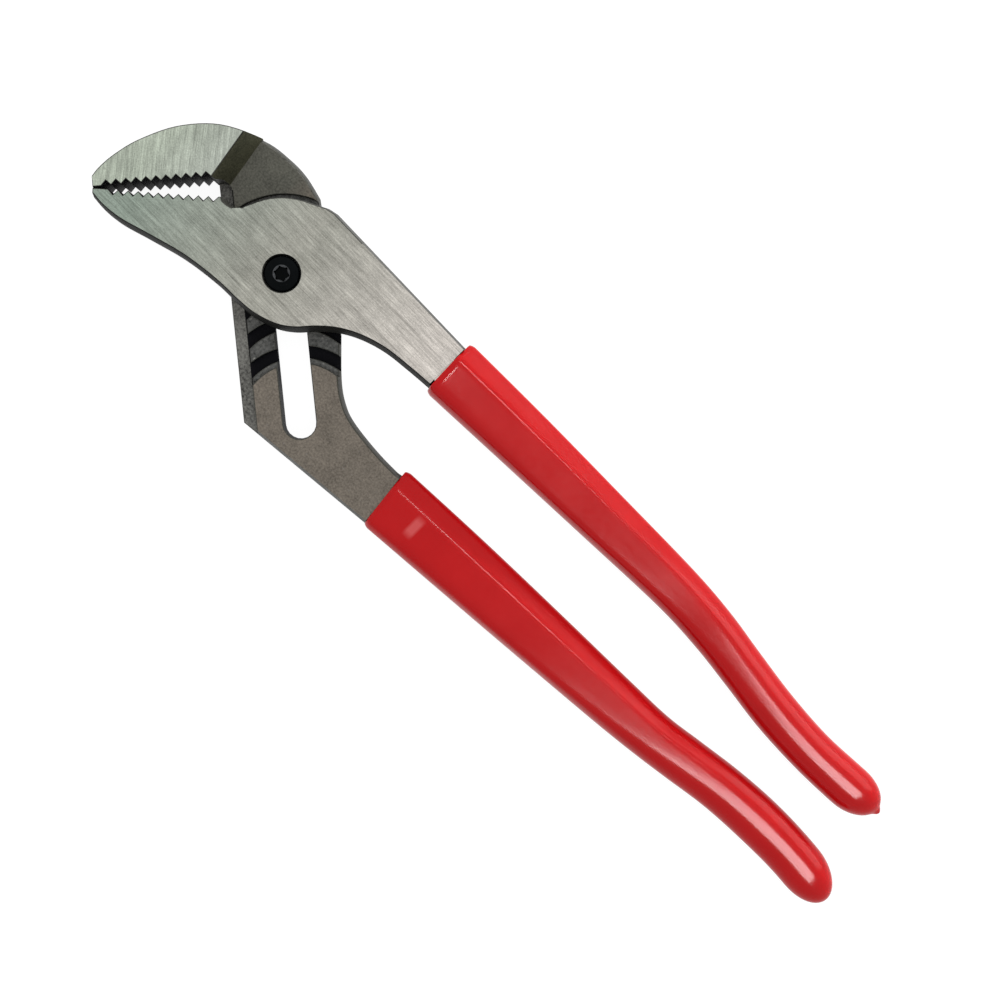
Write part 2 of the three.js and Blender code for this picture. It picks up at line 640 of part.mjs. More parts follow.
// Barrel nut: its flange slides in the track on the back, its barrel in the slot.
function pivotNut() {
  const barrel = BARREL_DIAMETER / 2;
  const bore = SCREW_SHANK_DIAMETER / 2 + FIT;
  const flange = NUT_FLANGE_DIAMETER / 2;
  const low = FIT;
  const high = low + NUT_FLANGE_THICKNESS;
  const top = JOINT_THICKNESS - SCREW_HEAD_DEPTH;
  const edge = NUT_EDGE_CHAMFER;
  const body = revolved([
    [bore, low], [flange - edge, low], [flange, low + edge], [flange, high], [barrel, high],
    [barrel, top], [bore, top], [bore, low],
  ]);
  const flat = NUT_FLANGE_FLATS / 2;
  let nut = body;
  for (const side of [-1, 1]) {
    const shape = new THREE.Shape([
      point(-flange, side * flat), point(flange, side * flat),
      point(flange, side * (flange + PAST)), point(-flange, side * (flange + PAST)),
    ]);
    nut = nut.subtract(prism(shape, -PAST, high + PAST / 2, SLOT_TURN));
  }
  return nut;
}

const brushedSteel = new THREE.MeshStandardMaterial({ color: 0xb0b0a6, roughness: 0.35, metalness: 1 });
const forgedSteel = new THREE.MeshStandardMaterial({ color: 0x766c67, roughness: 0.55, metalness: 0.9 });
const blackOxide = new THREE.MeshStandardMaterial({ color: 0x17181c, roughness: 0.4, metalness: 0.7 });
const redVinyl = new THREE.MeshStandardMaterial({ color: 0xc21f22, roughness: 0.3, metalness: 0 });

const pieces = [
  ['rear_lever', rearLever(), forgedSteel],
  ['front_lever', frontLever(), brushedSteel],
  ['pivot_nut', pivotNut(), blackOxide],
  ['pivot_screw', pivotScrew(), blackOxide],
  ['rear_grip', vinylGrip(rearGrip), redVinyl],
  ['front_grip', vinylGrip(frontGrip), redVinyl],
];

const pliers = new THREE.Group();
for (const [name, body, material] of pieces) {
  const mesh = new THREE.Mesh(geometryOf(body), material);
  mesh.name = name;
  pliers.add(mesh);
}

// The origin is the middle of the surface that the tool lies on.
const bounds = new THREE.Box3().setFromObject(pliers);
const middle = bounds.getCenter(new THREE.Vector3());
pliers.position.set(-middle.x, -middle.y, -bounds.min.z);

export default pliers;
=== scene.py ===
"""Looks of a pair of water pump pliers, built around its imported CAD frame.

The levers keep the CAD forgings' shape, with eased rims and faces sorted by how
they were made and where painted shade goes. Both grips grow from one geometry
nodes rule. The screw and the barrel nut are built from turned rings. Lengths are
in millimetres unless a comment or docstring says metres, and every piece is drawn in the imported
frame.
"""

from __future__ import annotations

import json
import logging
import math
from dataclasses import dataclass, field
from enum import Enum, IntEnum
from typing import Any, Callable, Iterable, Sequence

import bmesh
import bpy
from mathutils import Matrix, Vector
from mathutils.bvhtree import BVHTree

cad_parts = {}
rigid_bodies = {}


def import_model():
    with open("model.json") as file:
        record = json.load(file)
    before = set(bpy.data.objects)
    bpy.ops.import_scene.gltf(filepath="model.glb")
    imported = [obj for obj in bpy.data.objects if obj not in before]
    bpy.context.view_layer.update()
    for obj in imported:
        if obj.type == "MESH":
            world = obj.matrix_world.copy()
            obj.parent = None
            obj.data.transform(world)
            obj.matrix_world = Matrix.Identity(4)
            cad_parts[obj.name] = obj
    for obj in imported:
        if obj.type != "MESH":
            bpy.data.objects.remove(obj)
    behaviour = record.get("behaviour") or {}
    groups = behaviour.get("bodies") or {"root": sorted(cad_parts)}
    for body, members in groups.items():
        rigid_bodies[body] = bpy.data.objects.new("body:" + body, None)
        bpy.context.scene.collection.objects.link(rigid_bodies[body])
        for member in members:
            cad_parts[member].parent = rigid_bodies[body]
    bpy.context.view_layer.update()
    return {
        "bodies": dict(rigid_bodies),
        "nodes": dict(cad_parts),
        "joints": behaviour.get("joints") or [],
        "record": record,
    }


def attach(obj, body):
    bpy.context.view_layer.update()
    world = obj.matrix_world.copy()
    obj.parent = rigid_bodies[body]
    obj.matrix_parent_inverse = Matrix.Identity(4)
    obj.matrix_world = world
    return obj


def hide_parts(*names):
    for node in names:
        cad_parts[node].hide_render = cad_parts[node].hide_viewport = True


LOG = logging.getLogger("pliers")

Socket = bpy.types.NodeSocket
Colour = tuple[float, float, float, float]
Spot = tuple[float, float, float]
Pair = tuple[float, float]

MM = 0.001
FLOAT = "NodeSocketFloat"
VECTOR = "NodeSocketVector"
GEOMETRY = "NodeSocketGeometry"
WHITE: Colour = (1.0, 1.0, 1.0, 1.0)

# Levels and places of the CAD model, from the pivot axis
PLATE_THICKNESS = 6.35
JOINT_THICKNESS = 13.0
PAD_LEVEL = 4.9
GROOVE_FLOOR = 3.3
SLOT_ANGLE = math.radians(-39.13)
SLOT_TRAVEL = 36.4
LEDGE_WALL = -10.7
LEDGE_LINE = 0.5
TONGUE_REACH = 19.3
JAW_TIP = Vector((-47.6, -17.75))
JAW_LINE_ANGLE = 45.4
JAW_WEDGE_ANGLE = 8.7
JAW_TIP_GAP = 0.3
TOOTH_DEPTH = 1.25
TOOTHED_LENGTH = 31.7
RAMP_FROM = -32.0
BRIGHT_RIM: Pair = (-34.0, 0.0)
FIT = 0.3

# Sorting of a lever's faces: shares of the normal, then margins
LEVEL_UP = 0.97
TOOTH_UP = 0.6
BACK_UP = -0.6
RAMP_UP: Pair = (0.3, 0.7)
WALL_UP = 0.3
OUTWARD = 0.3
LIT_SIDE = 0.2
TOP_MARGIN = 0.4
STEP_MARGIN = 0.3
LEVEL_MARGIN = 0.1
PAD_MARGIN = 0.05
TOOTH_MARGIN = 0.2
TIP_MARGIN = 0.5
MOUTH_MARGIN = 0.15
RAY_LIFT = 0.01

# Mesh work on the levers, with distances in metres
WELD = 2e-6
CUT_SLACK = 1e-7
FLAT_ANGLE = math.radians(0.4)
RIM_ANGLE = math.radians(30)
RIM_LEAST = 0.3 * MM
CREASE_ANGLE = math.radians(34)
LEVEL_CREASE_ANGLE = math.radians(1)

# Spans of painted light on the steel along the tool, in metres of the imported frame: a painted
# sheen on the front neck and painted shade on the plate by the jaw
NECK_SHEEN_SPAN: Pair = (-0.075, -0.038)
SHADE_SPAN: Pair = (-0.084, -0.092)

# Surface effects: features per metre, then the stretches of noise that are used
BELT_FINE: Spot = (160.0, 4200.0, 300.0)
BELT_BROAD: Spot = (45.0, 1100.0, 120.0)
BELT_TONE: Pair = (0.35, 0.65)
FINE_SHARE = 0.6
BLOTCH_SCALE = 0.09
BLOTCH_TONE: Pair = (0.3, 0.7)
SKIN_TONE: Pair = (0.32, 0.68)
SPECK_SIZE: Pair = (0.1, 0.28)
SPECK_PICK_SCALE = 0.45
SPECK_PICK: Pair = (0.55, 0.68)

# Grip rule shared by both handles
GRIP_HALF = 5.5
GRIP_WALL = 1.1
GRIP_LIP_LENGTH = 1.5
GRIP_LIP_INSET = 0.6
GRIP_LIP_AHEAD = 0.22
GRIP_LIP_STEPS = 8
GRIP_LIP_RUN = 1.3
GRIP_LIP_ROLL = 1.5
GRIP_LIP_REST = 0.5
MOUTH_TILT_FADE = 25.0
GRIP_ROUND: Pair = (0.3, 0.8)
GRIP_RIDGE_OUTER = 0.42
GRIP_RIDGE_INNER = 0.72
GRIP_SHOULDER = 0.25
GRIP_SHARPNESS = 22.0
GRIP_SOFTNESS = 9.0
GRIP_POINTS = 128
GRIP_CREASE = math.radians(50)
BORE_STEPS = 26
SKIN_STEPS = 84
CAP_STEPS = 12
SEARCH_STEPS = 40

# Rear grip's mouth, from the far end of the slot
REAR_MOUTH_REACH = 28.3
REAR_MOUTH_RISE = 1.45
REAR_MOUTH_HALF = 3.875

# Drop at the dipped end: reach past the end and scale of each ring
DRIP_RINGS: tuple[Pair, ...] = (
    (-0.4, 0.31),
    (-0.12, 0.25),
    (0.15, 0.205),
    (0.45, 0.16),
    (0.75, 0.11),
    (0.93, 0.06),
    (1.0, 0.0),
)
DRIP_REPLACES = 3

# Screw and nut
SCREW_HEAD_RADIUS = 4.35
SCREW_SHANK_RADIUS = 2.4
SCREW_SEAT = 10.7
SCREW_RIM = 12.5
SCREW_CROWN = 13.5
SCREW_CROWN_ANGLES = (66, 56, 46, 36, 26, 16, 8)
SCREW_CROWN_POWER = 0.8
SCREW_END = 0.8
SCREW_END_TAPER = 0.5
SOCKET_SIDES = 6
SOCKET_APOTHEM = 1.6
SOCKET_FLOOR = 11.5
SOCKET_DRILL_RADIUS = 0.05
SOCKET_DRILL_DEPTH = 0.25
SOCKET_EASE = 0.08
SOCKET_CHAMFER = 0.55
NUT_FLANGE_RADIUS = 6.5
NUT_FLANGE_APOTHEM = 5.7
NUT_FLANGE_THICKNESS = 1.6
NUT_FLANGE_EDGE = 0.3
NUT_BARREL_RADIUS = 3.15
NUT_BORE_RADIUS = 2.7
NUT_BORE_EASE = 0.25
NUT_TOP = 10.4
TURNED_EASE = 0.1
TURNED_CREASE = math.radians(32)


def opaque(red: float, green: float, blue: float) -> Colour:
    """Return an opaque colour from its linear shares."""
    return (red, green, blue, 1.0)


def lerp(start: float, end: float, share: float) -> float:
    """Return the number that lies a share of the way from start to end."""
    return start + (end - start) * share


def smoothstep(value: float, low: float, high: float) -> float:
    """Return the smooth change from 0 at low to 1 at high."""
    share = min(1.0, max(0.0, (value - low) / (high - low)))
    return share * share * (3 - 2 * share)


class FaceKind(Enum):
    """How a face of a forged lever was made, or the painted shade it takes, which decides its
    finish.
    """

    GROUND = "ground"
    JAW_TOP = "jaw_top"
    PLATE = "plate"
    RIB = "rib"
    LEDGE = "ledge"
    GROOVE = "groove"
    TEETH = "teeth"
    RAMP = "ramp"
    FLANK = "flank"
    # Front flanks that face away from the lamps, with a painted shade
    SCALE = "scale"
    BACK = "back"


class Band(IntEnum):
    """Which of a turned piece's finishes a band of its surface takes."""

    BLACK = 0
    WORN = 1


# Rings of the socket's mouth: reach past its corner, drop from the crown, band
SOCKET_MOUTH = (
    (0.1, 0.3, Band.WORN),
    (0.42, 0.06, Band.BLACK),
    (0.55, 0.03, Band.BLACK),
)


@dataclass
class NodeCanvas:
    """A node tree with short calls to add and join nodes."""

    tree: bpy.types.NodeTree

    def add(
        self, kind: str, feeds: dict[Any, Any] | None = None, **settings: Any
    ) -> bpy.types.Node:
        """Add a node.

        Args:
            kind: the node's type name.
            feeds: sockets or constants for its inputs, by name or index.
            settings: its properties.

        Returns:
            The new node.
        """
        node = self.tree.nodes.new(kind)
        for key, value in settings.items():
            setattr(node, key, value)
        for key, value in (feeds or {}).items():
            self.feed(node.inputs[key], value)
        return node

    def feed(self, socket: Socket, value: Any) -> None:
        """Link a socket into another one, or set a constant on it.

        Args:
            socket: the input to feed.
            value: an output socket or a plain value.
        """
        if isinstance(value, bpy.types.NodeSocket):
            self.tree.links.new(value, socket)
        else:
            socket.default_value = value

    def math(self, operation: str, *values: Any) -> Socket:
        """Return the result of a math node on sockets or numbers."""
        return self.add("ShaderNodeMath", dict(enumerate(values)), operation=operation).outputs[0]

    def times(self, first: Any, second: Any) -> Socket:
        """Return the product of two vectors or colours, axis by axis."""
        feeds = {0: first, 1: second}
        return self.add("ShaderNodeVectorMath", feeds, operation="MULTIPLY").outputs[0]

    def mix(self, share: Any, first: Any, second: Any) -> Socket:
        """Return a colour between the first, at share 0, and the second."""
        feeds = {"Factor": share, 6: first, 7: second}
        return self.add("ShaderNodeMix", feeds, data_type="RGBA").outputs[2]

    def with_painted_shading(self, colour: Socket, share: Socket, tint: Colour) -> Socket:
        """Return a colour that is multiplied by a share of painted shading, lighter or darker."""
        return self.times(colour, self.mix(share, WHITE, tint))

    def split(self, vector: Socket) -> bpy.types.NodeOutputs:
        """Return a vector's three numbers."""
        return self.add("ShaderNodeSeparateXYZ", {0: vector}).outputs

    def spread(
        self, value: Socket, low: float, high: float, to_low: float = 0.0, to_high: float = 1.0
    ) -> Socket:
        """Map one range of numbers onto another, clamped.

        Args:
            value: the number to map.
            low: start of its range.
            high: end of its range.
            to_low: result at low.
            to_high: result at high.

        Returns:
            The mapped number.
        """
        feeds = {
            "Value": value,
            "From Min": low,
            "From Max": high,
            "To Min": to_low,
            "To Max": to_high,
        }
        return self.add("ShaderNodeMapRange", feeds).outputs["Result"]

    def noise(self, vector: Socket, scale: Any, detail: float, roughness: float) -> Socket:
        """Return a noise, about 0.5 on average, of so many features per metre."""
        feeds = {"Vector": vector, "Scale": scale, "Detail": detail, "Roughness": roughness}
        return self.add("ShaderNodeTexNoise", feeds).outputs[0]

    def bump(
        self, height: Socket, strength: float, depth: float, under: Socket | None = None
    ) -> Socket:
        """Add a bump.

        Args:
            height: relief from 0 to 1.
            strength: how much of it shows.
            depth: its depth in metres.
            under: a normal to add it to.

        Returns:
            The bumped normal.
        """
        feeds = {"Strength": strength, "Distance": depth, "Height": height}
        if under is not None:
            feeds["Normal"] = under
        return self.add("ShaderNodeBump", feeds).outputs[0]

    def use(self, group: bpy.types.NodeTree, **values: Any) -> bpy.types.NodeOutputs:
        """Return the outputs of a shader group that is fed by name."""
        return self.add("ShaderNodeGroup", values, node_tree=group).outputs


@dataclass
class NodeGroup:
    """A new node group with its input and output nodes."""

    name: str
    kind: str
    inputs: Sequence[tuple[str, str, Any]]
    outputs: Sequence[tuple[str, str]]
    canvas: NodeCanvas = field(init=False)
    source: bpy.types.NodeOutputs = field(init=False)
    sink: bpy.types.Node = field(init=False)

    def __post_init__(self) -> None:
        """Make the tree, its sockets and its two end nodes."""
        tree = bpy.data.node_groups.new(self.name, self.kind)
        for name, kind, default in self.inputs:
            socket = tree.interface.new_socket(name=name, in_out="INPUT", socket_type=kind)
            if default is not None:
                socket.default_value = default
        for name, kind in self.outputs:
            tree.interface.new_socket(name=name, in_out="OUTPUT", socket_type=kind)
        self.canvas = NodeCanvas(tree)
        self.source = self.canvas.add("NodeGroupInput").outputs
        self.sink = self.canvas.add("NodeGroupOutput")

    def give(self, name: str, value: Socket) -> None:
        """Feed one of the group's outputs."""
        self.canvas.feed(self.sink.inputs[name], value)

    def identifier(self, name: str) -> str:
        """Return the identifier that a modifier uses for one of the group's inputs."""
        ends = self.canvas.tree.interface.items_tree
        return next(e.identifier for e in ends if e.in_out == "INPUT" and e.name == name)


@dataclass
class EffectLibrary:
    """Shader groups that several finishes share."""

    brush: bpy.types.NodeTree = field(init=False)
    skin: bpy.types.NodeTree = field(init=False)
    speckle: bpy.types.NodeTree = field(init=False)

    def __post_init__(self) -> None:
        """Make every group once."""
        self.brush = self._brush_lines()
        self.skin = self._forge_skin()
        self.speckle = self._fine_speckle()

    @staticmethod
    def _both(canvas: NodeCanvas, fine: Socket, broad: Socket) -> Socket:
        """Return the sum of a fine and a broad noise, mostly the fine one."""
        slow = canvas.math("MULTIPLY", broad, 1 - FINE_SHARE)
        return canvas.math("ADD", canvas.math("MULTIPLY", fine, FINE_SHARE), slow)

    def _brush_lines(self) -> bpy.types.NodeTree:
        """Make the lines that a grinding belt leaves.

        Returns:
            A group that gives the lines' tone and height.
        """
        group = NodeGroup(
            "belt_lines",
            "ShaderNodeTree",
            [("Vector", VECTOR, None), ("Angle", FLOAT, 0.0)],
            [("Tone", FLOAT), ("Height", FLOAT)],
        )
        canvas, source = group.canvas, group.source
        feeds = {"Vector": source["Vector"], "Angle": canvas.math("MULTIPLY", source["Angle"], -1.0)}
        turned = canvas.add("ShaderNodeVectorRotate", feeds, rotation_type="Z_AXIS").outputs[0]
        fine = canvas.noise(canvas.times(turned, BELT_FINE), scale=1.0, detail=5.0, roughness=0.7)
        broad = canvas.noise(canvas.times(turned, BELT_BROAD), scale=1.0, detail=4.0, roughness=0.6)
        group.give("Tone", canvas.spread(self._both(canvas, fine, broad), *BELT_TONE))
        group.give("Height", fine)
        return canvas.tree

    def _forge_skin(self) -> bpy.types.NodeTree:
        """Make the grain of scaled or cast skin.

        Returns:
            A group that gives blotches, grain and relief.
        """
        group = NodeGroup(
            "forge_skin",
            "ShaderNodeTree",
            [("Vector", VECTOR, None), ("Grain", FLOAT, 0.0)],
            [("Blotch", FLOAT), ("Tone", FLOAT), ("Height", FLOAT)],
        )
        canvas, source = group.canvas, group.source
        grain = canvas.noise(source["Vector"], source["Grain"], detail=4.0, roughness=0.6)
        slower = canvas.math("MULTIPLY", source["Grain"], BLOTCH_SCALE)
        blotch = canvas.noise(source["Vector"], slower, detail=5.0, roughness=0.6)
        both = self._both(canvas, grain, blotch)
        group.give("Blotch", canvas.spread(blotch, *BLOTCH_TONE))
        group.give("Tone", canvas.spread(both, *SKIN_TONE))
        group.give("Height", both)
        return canvas.tree

    @staticmethod
    def _fine_speckle() -> bpy.types.NodeTree:
        """Make small scattered pits and grains.

        Returns:
            A group that gives a mask of the specks.
        """
        group = NodeGroup(
            "fine_speckle",
            "ShaderNodeTree",
            [("Vector", VECTOR, None), ("Density", FLOAT, 0.0)],
            [("Mask", FLOAT)],
        )
        canvas, source = group.canvas, group.source
        feeds = {"Vector": source["Vector"], "Scale": source["Density"]}
        cells = canvas.add("ShaderNodeTexVoronoi", feeds)
        dots = canvas.spread(cells.outputs["Distance"], *SPECK_SIZE, 1.0, 0.0)
        slower = canvas.math("MULTIPLY", source["Density"], SPECK_PICK_SCALE)
        pick = canvas.noise(source["Vector"], slower, detail=2.0, roughness=0.5)
        group.give("Mask", canvas.math("MULTIPLY", dots, canvas.spread(pick, *SPECK_PICK)))
        return canvas.tree


def fresh_canvas(owner: bpy.types.Material | bpy.types.World) -> NodeCanvas:
    """Return the emptied node tree of a material or a world.

    Args:
        owner: the material or world.

    Returns:
        Its tree, ready to be filled.
    """
    owner.use_nodes = True
    owner.node_tree.nodes.clear()
    return NodeCanvas(owner.node_tree)


class Surface:
    """A new material with a Principled shader and Object coordinates."""

    def __init__(self, name: str) -> None:
        """Make the material.

        Args:
            name: its name.
        """
        self.material = bpy.data.materials.new(name)
        self.canvas = fresh_canvas(self.material)
        self.shader = self.canvas.add("ShaderNodeBsdfPrincipled")
        self.canvas.add("ShaderNodeOutputMaterial", {"Surface": self.shader.outputs[0]})
        self.place = self.canvas.add("ShaderNodeTexCoord").outputs["Object"]

    def paint(self, inputs: dict[str, Any]) -> bpy.types.Material:
        """Feed the shader and return the material.

        Args:
            inputs: sockets or constants by the shader's input names.

        Returns:
            The material.
        """
        for name, value in inputs.items():
            self.canvas.feed(self.shader.inputs[name], value)
        return self.material


@dataclass(frozen=True)
class GroundFinish:
    """Belt-ground steel, with painted shading along a span and a painted sheen that makes the neck
    paler.

    Lengths are in metres, and the relief is a strength and a depth.
    """

    name: str
    dark: Colour
    light: Colour
    angle: float
    tint: Colour
    painted_shading_span: Pair
    painted_neck_sheen: Colour = WHITE
    roughness: Pair = (0.42, 0.3)
    grain: float = 2600.0
    grain_gain: Pair = (0.7, 1.3)
    speck_density: float = 520.0
    pits: float = 0.3
    pit: Colour = opaque(0.1, 0.1, 0.09)
    relief: Pair = (0.22, 0.00004)

    def make(self, effects: EffectLibrary) -> bpy.types.Material:
        """Build the material.

        Args:
            effects: the shared shader groups.

        Returns:
            The material.
        """
        surface = Surface(self.name)
        canvas, place = surface.canvas, surface.place
        along = canvas.split(place)[0]
        lines = canvas.use(effects.brush, Vector=place, Angle=self.angle)
        specks = canvas.use(effects.speckle, Vector=place, Density=self.speck_density)
        grain = canvas.use(effects.skin, Vector=place, Grain=self.grain)
        steel = canvas.mix(lines["Tone"], self.dark, self.light)
        # Painted shading along a span of the tool
        steel = canvas.with_painted_shading(steel, canvas.spread(along, *self.painted_shading_span), self.tint)
        # Painted sheen that makes the neck paler
        steel = canvas.with_painted_shading(steel, canvas.spread(along, *NECK_SHEEN_SPAN), self.painted_neck_sheen)
        steel = canvas.times(steel, canvas.spread(grain["Tone"], 0.0, 1.0, *self.grain_gain))
        pits = canvas.math("MULTIPLY", specks["Mask"], self.pits)
        return surface.paint(
            {
                "Base Color": canvas.mix(pits, steel, self.pit),
                "Metallic": 1.0,
                "Roughness": canvas.spread(lines["Tone"], 0.0, 1.0, *self.roughness),
                "Normal": canvas.bump(lines["Height"], *self.relief),
            }
        )


@dataclass(frozen=True)
class ForgedFinish:
    """Forged steel that kept its scale or was only tumbled; relief is a depth in metres."""

    name: str
    dark: Colour
    light: Colour
    specks: Colour
    grain: float
    speck_share: float
    metallic: float
    roughness: Pair
    relief: float
    specular: float = 0.3
    shade: Colour = WHITE
    relief_share: float = 0.35
    speck_scale: float = 0.45

    def make(self, effects: EffectLibrary) -> bpy.types.Material:
        """Build the material.

        Args:
            effects: the shared shader groups.

        Returns:
            The material.
        """
        surface = Surface(self.name)
        canvas, place = surface.canvas, surface.place
        skin = canvas.use(effects.skin, Vector=place, Grain=self.grain)
        density = self.grain * self.speck_scale
        specks = canvas.use(effects.speckle, Vector=place, Density=density)
        steel = canvas.mix(skin["Tone"], self.dark, self.light)
        share = canvas.math("MULTIPLY", specks["Mask"], self.speck_share)
        steel = canvas.mix(share, steel, self.specks)
        # Painted shade over the span by the jaw
        near_jaw = canvas.spread(canvas.split(place)[0], *SHADE_SPAN)
        return surface.paint(
            {
                "Base Color": canvas.with_painted_shading(steel, near_jaw, self.shade),
                "Metallic": self.metallic,
                "Specular IOR Level": self.specular,
                "Roughness": canvas.spread(skin["Blotch"], 0.0, 1.0, *self.roughness),
                "Normal": canvas.bump(skin["Height"], self.relief_share, self.relief),
            }
        )


@dataclass(frozen=True)
class VinylFinish:
    """Dipped vinyl with a soft gloss and one painted highlight.

    Lengths are in metres, and each relief is a strength and a depth.
    """

    name: str
    deep: Colour
    bright: Colour
    dust: Colour
    painted_highlight: Colour
    highlight_at: Pair = (-0.01, -0.0156)
    highlight_half: Pair = (0.0012, 0.0026)
    highlight_edge: Pair = (0.6, 1.3)
    grain: float = 900.0
    speck_density: float = 260.0
    speck_share: float = 0.12
    roughness: Pair = (0.13, 0.21)
    specular: float = 0.14
    wave_density: float = 160.0
    wave_relief: Pair = (0.02, 0.0003)
    grain_relief: Pair = (0.015, 0.00006)

    def make(self, effects: EffectLibrary) -> bpy.types.Material:
        """Build the material.

        Args:
            effects: the shared shader groups.

        Returns:
            The material.
        """
        surface = Surface(self.name)
        canvas, place = surface.canvas, surface.place
        skin = canvas.use(effects.skin, Vector=place, Grain=self.grain)
        specks = canvas.use(effects.speckle, Vector=place, Density=self.speck_density)
        vinyl = canvas.mix(skin["Blotch"], self.deep, self.bright)
        share = canvas.math("MULTIPLY", specks["Mask"], self.speck_share)
        vinyl = canvas.mix(share, vinyl, self.dust)
        waves = canvas.noise(place, self.wave_density, detail=2.0, roughness=0.4)
        slow = canvas.bump(waves, *self.wave_relief)
        return surface.paint(
            {
                # A small painted highlight patch on the rear grip's top by its mouth
                "Base Color": canvas.mix(self._highlight_mask(canvas, place), vinyl, self.painted_highlight),
                "Specular IOR Level": self.specular,
                "Roughness": canvas.spread(skin["Tone"], 0.0, 1.0, *self.roughness),
                "Normal": canvas.bump(skin["Height"], *self.grain_relief, slow),
            }
        )

    def _highlight_mask(self, canvas: NodeCanvas, place: Socket) -> Socket:
        """Return the mask of the small painted highlight by the rear grip's mouth.

        Args:
            canvas: the material's tree.
            place: its coordinates.

        Returns:
            The painted highlight's share, from 0 to 1.
        """
        axes = canvas.split(place)
        inner, outer = self.highlight_edge
        mask = canvas.math("GREATER_THAN", axes[2], GRIP_HALF * MM)
        for socket, middle, half in zip(axes, self.highlight_at, self.highlight_half):
            off = canvas.math("ABSOLUTE", canvas.math("SUBTRACT", socket, middle))
            mask = canvas.math(
                "MULTIPLY", mask, canvas.spread(off, half * inner, half * outer, 1.0, 0.0)
            )
        return mask


# Painted shade darkens the front face by the hub and jaw, and a painted sheen lightens its neck
FRONT_FACE = GroundFinish(
    "ground_front_face",
    dark=opaque(0.212, 0.21, 0.183),
    light=opaque(0.485, 0.482, 0.426),
    angle=0.0,
    tint=opaque(0.76, 0.91, 0.88),
    painted_shading_span=(-0.08, -0.115),
    painted_neck_sheen=opaque(1.68, 1.58, 1.65),
)
JAW_FACE = GroundFinish(
    "ground_jaw_face",
    dark=opaque(0.25, 0.263, 0.24),
    light=opaque(0.592, 0.632, 0.57),
    angle=math.radians(128),
    tint=opaque(0.96, 1.0, 0.92),
    painted_shading_span=(-0.1, -0.12),
)
BACK_FACE = GroundFinish(
    "ground_back_face",
    dark=opaque(0.22, 0.218, 0.2),
    light=opaque(0.32, 0.318, 0.295),
    angle=math.radians(4),
    tint=opaque(0.95, 1.0, 0.96),
    painted_shading_span=(-0.09, -0.12),
)
PLATE_FACE = ForgedFinish(
    "forged_plate",
    dark=opaque(0.092, 0.08, 0.066),
    light=opaque(0.27, 0.235, 0.194),
    specks=opaque(0.28, 0.26, 0.245),
    grain=1900.0,
    speck_share=0.4,
    metallic=0.75,
    roughness=(0.45, 0.6),
    relief=0.00012,
    # Painted shade on the plate towards the jaw
    shade=opaque(0.585, 0.665, 0.67),
)
RIB_FACE = ForgedFinish(
    "forged_rib",
    dark=opaque(0.012, 0.013, 0.0125),
    light=opaque(0.165, 0.165, 0.157),
    specks=opaque(0.42, 0.41, 0.38),
    grain=1500.0,
    speck_share=0.7,
    metallic=0.8,
    roughness=(0.4, 0.58),
    relief=0.0001,
)
FLANK_FACE = ForgedFinish(
    "forged_flank",
    dark=opaque(0.03, 0.03, 0.026),
    light=opaque(0.085, 0.085, 0.074),
    specks=opaque(0.16, 0.155, 0.145),
    grain=2000.0,
    speck_share=0.5,
    metallic=0.2,
    roughness=(0.45, 0.62),
    relief=0.00012,
)
# Painted shade for the front lever's flanks that face away from the light
SHADED_FLANK_FACE = ForgedFinish(
    "black_scale",
    dark=opaque(0.002, 0.002, 0.002),
    light=opaque(0.018, 0.018, 0.016),
    specks=opaque(0.07, 0.07, 0.065),
    grain=2000.0,
    speck_share=0.4,
    metallic=0.0,
    roughness=(0.5, 0.65),
    relief=0.00012,
    specular=0.08,
)
LEDGE_FACE = ForgedFinish(
    "forged_ledge",
    dark=opaque(0.012, 0.012, 0.011),
    light=opaque(0.305, 0.3, 0.276),
    specks=opaque(0.3, 0.3, 0.28),
    grain=1500.0,
    speck_share=0.6,
    metallic=0.7,
    roughness=(0.45, 0.6),
    relief=0.00012,
)
# Forged skin of the ramp, darkened with painted shade
RAMP_FACE = ForgedFinish(
    "forged_ramp",
    dark=opaque(0.024, 0.024, 0.014),
    light=opaque(0.096, 0.096, 0.059),
    specks=opaque(0.16, 0.15, 0.13),
    grain=2100.0,
    speck_share=0.4,
    metallic=0.6,
    roughness=(0.5, 0.65),
    relief=0.0001,
)
# Near-black painted shade for groove floors and walls, the pad's recess and the teeth
GROOVE_SHADE_FACE = ForgedFinish(
    "milled_groove",
    dark=opaque(0.001, 0.001, 0.002),
    light=opaque(0.006, 0.006, 0.008),
    specks=opaque(0.05, 0.05, 0.05),
    grain=1800.0,
    speck_share=0.25,
    metallic=0.0,
    roughness=(0.5, 0.65),
    relief=0.0001,
    specular=0.06,
)
OXIDE_FINISH = ForgedFinish(
    "black_oxide",
    dark=opaque(0.0012, 0.0017, 0.002),
    light=opaque(0.004, 0.0052, 0.006),
    specks=opaque(0.06, 0.06, 0.065),
    grain=3000.0,
    speck_share=0.15,
    metallic=0.0,
    roughness=(0.2, 0.3),
    relief=0.00001,
    specular=0.035,
)
WORN_STEEL = ForgedFinish(
    "worn_socket_rim",
    dark=opaque(0.02, 0.021, 0.023),
    light=opaque(0.11, 0.115, 0.12),
    specks=opaque(0.1, 0.1, 0.1),
    grain=3200.0,
    speck_share=0.3,
    metallic=1.0,
    roughness=(0.22, 0.34),
    relief=0.00002,
)
RED_VINYL = VinylFinish(
    "dipped_vinyl",
    deep=opaque(0.56, 0.005, 0.007),
    bright=opaque(0.61, 0.007, 0.009),
    dust=opaque(0.6, 0.03, 0.03),
    painted_highlight=opaque(0.74, 0.1, 0.1),
)


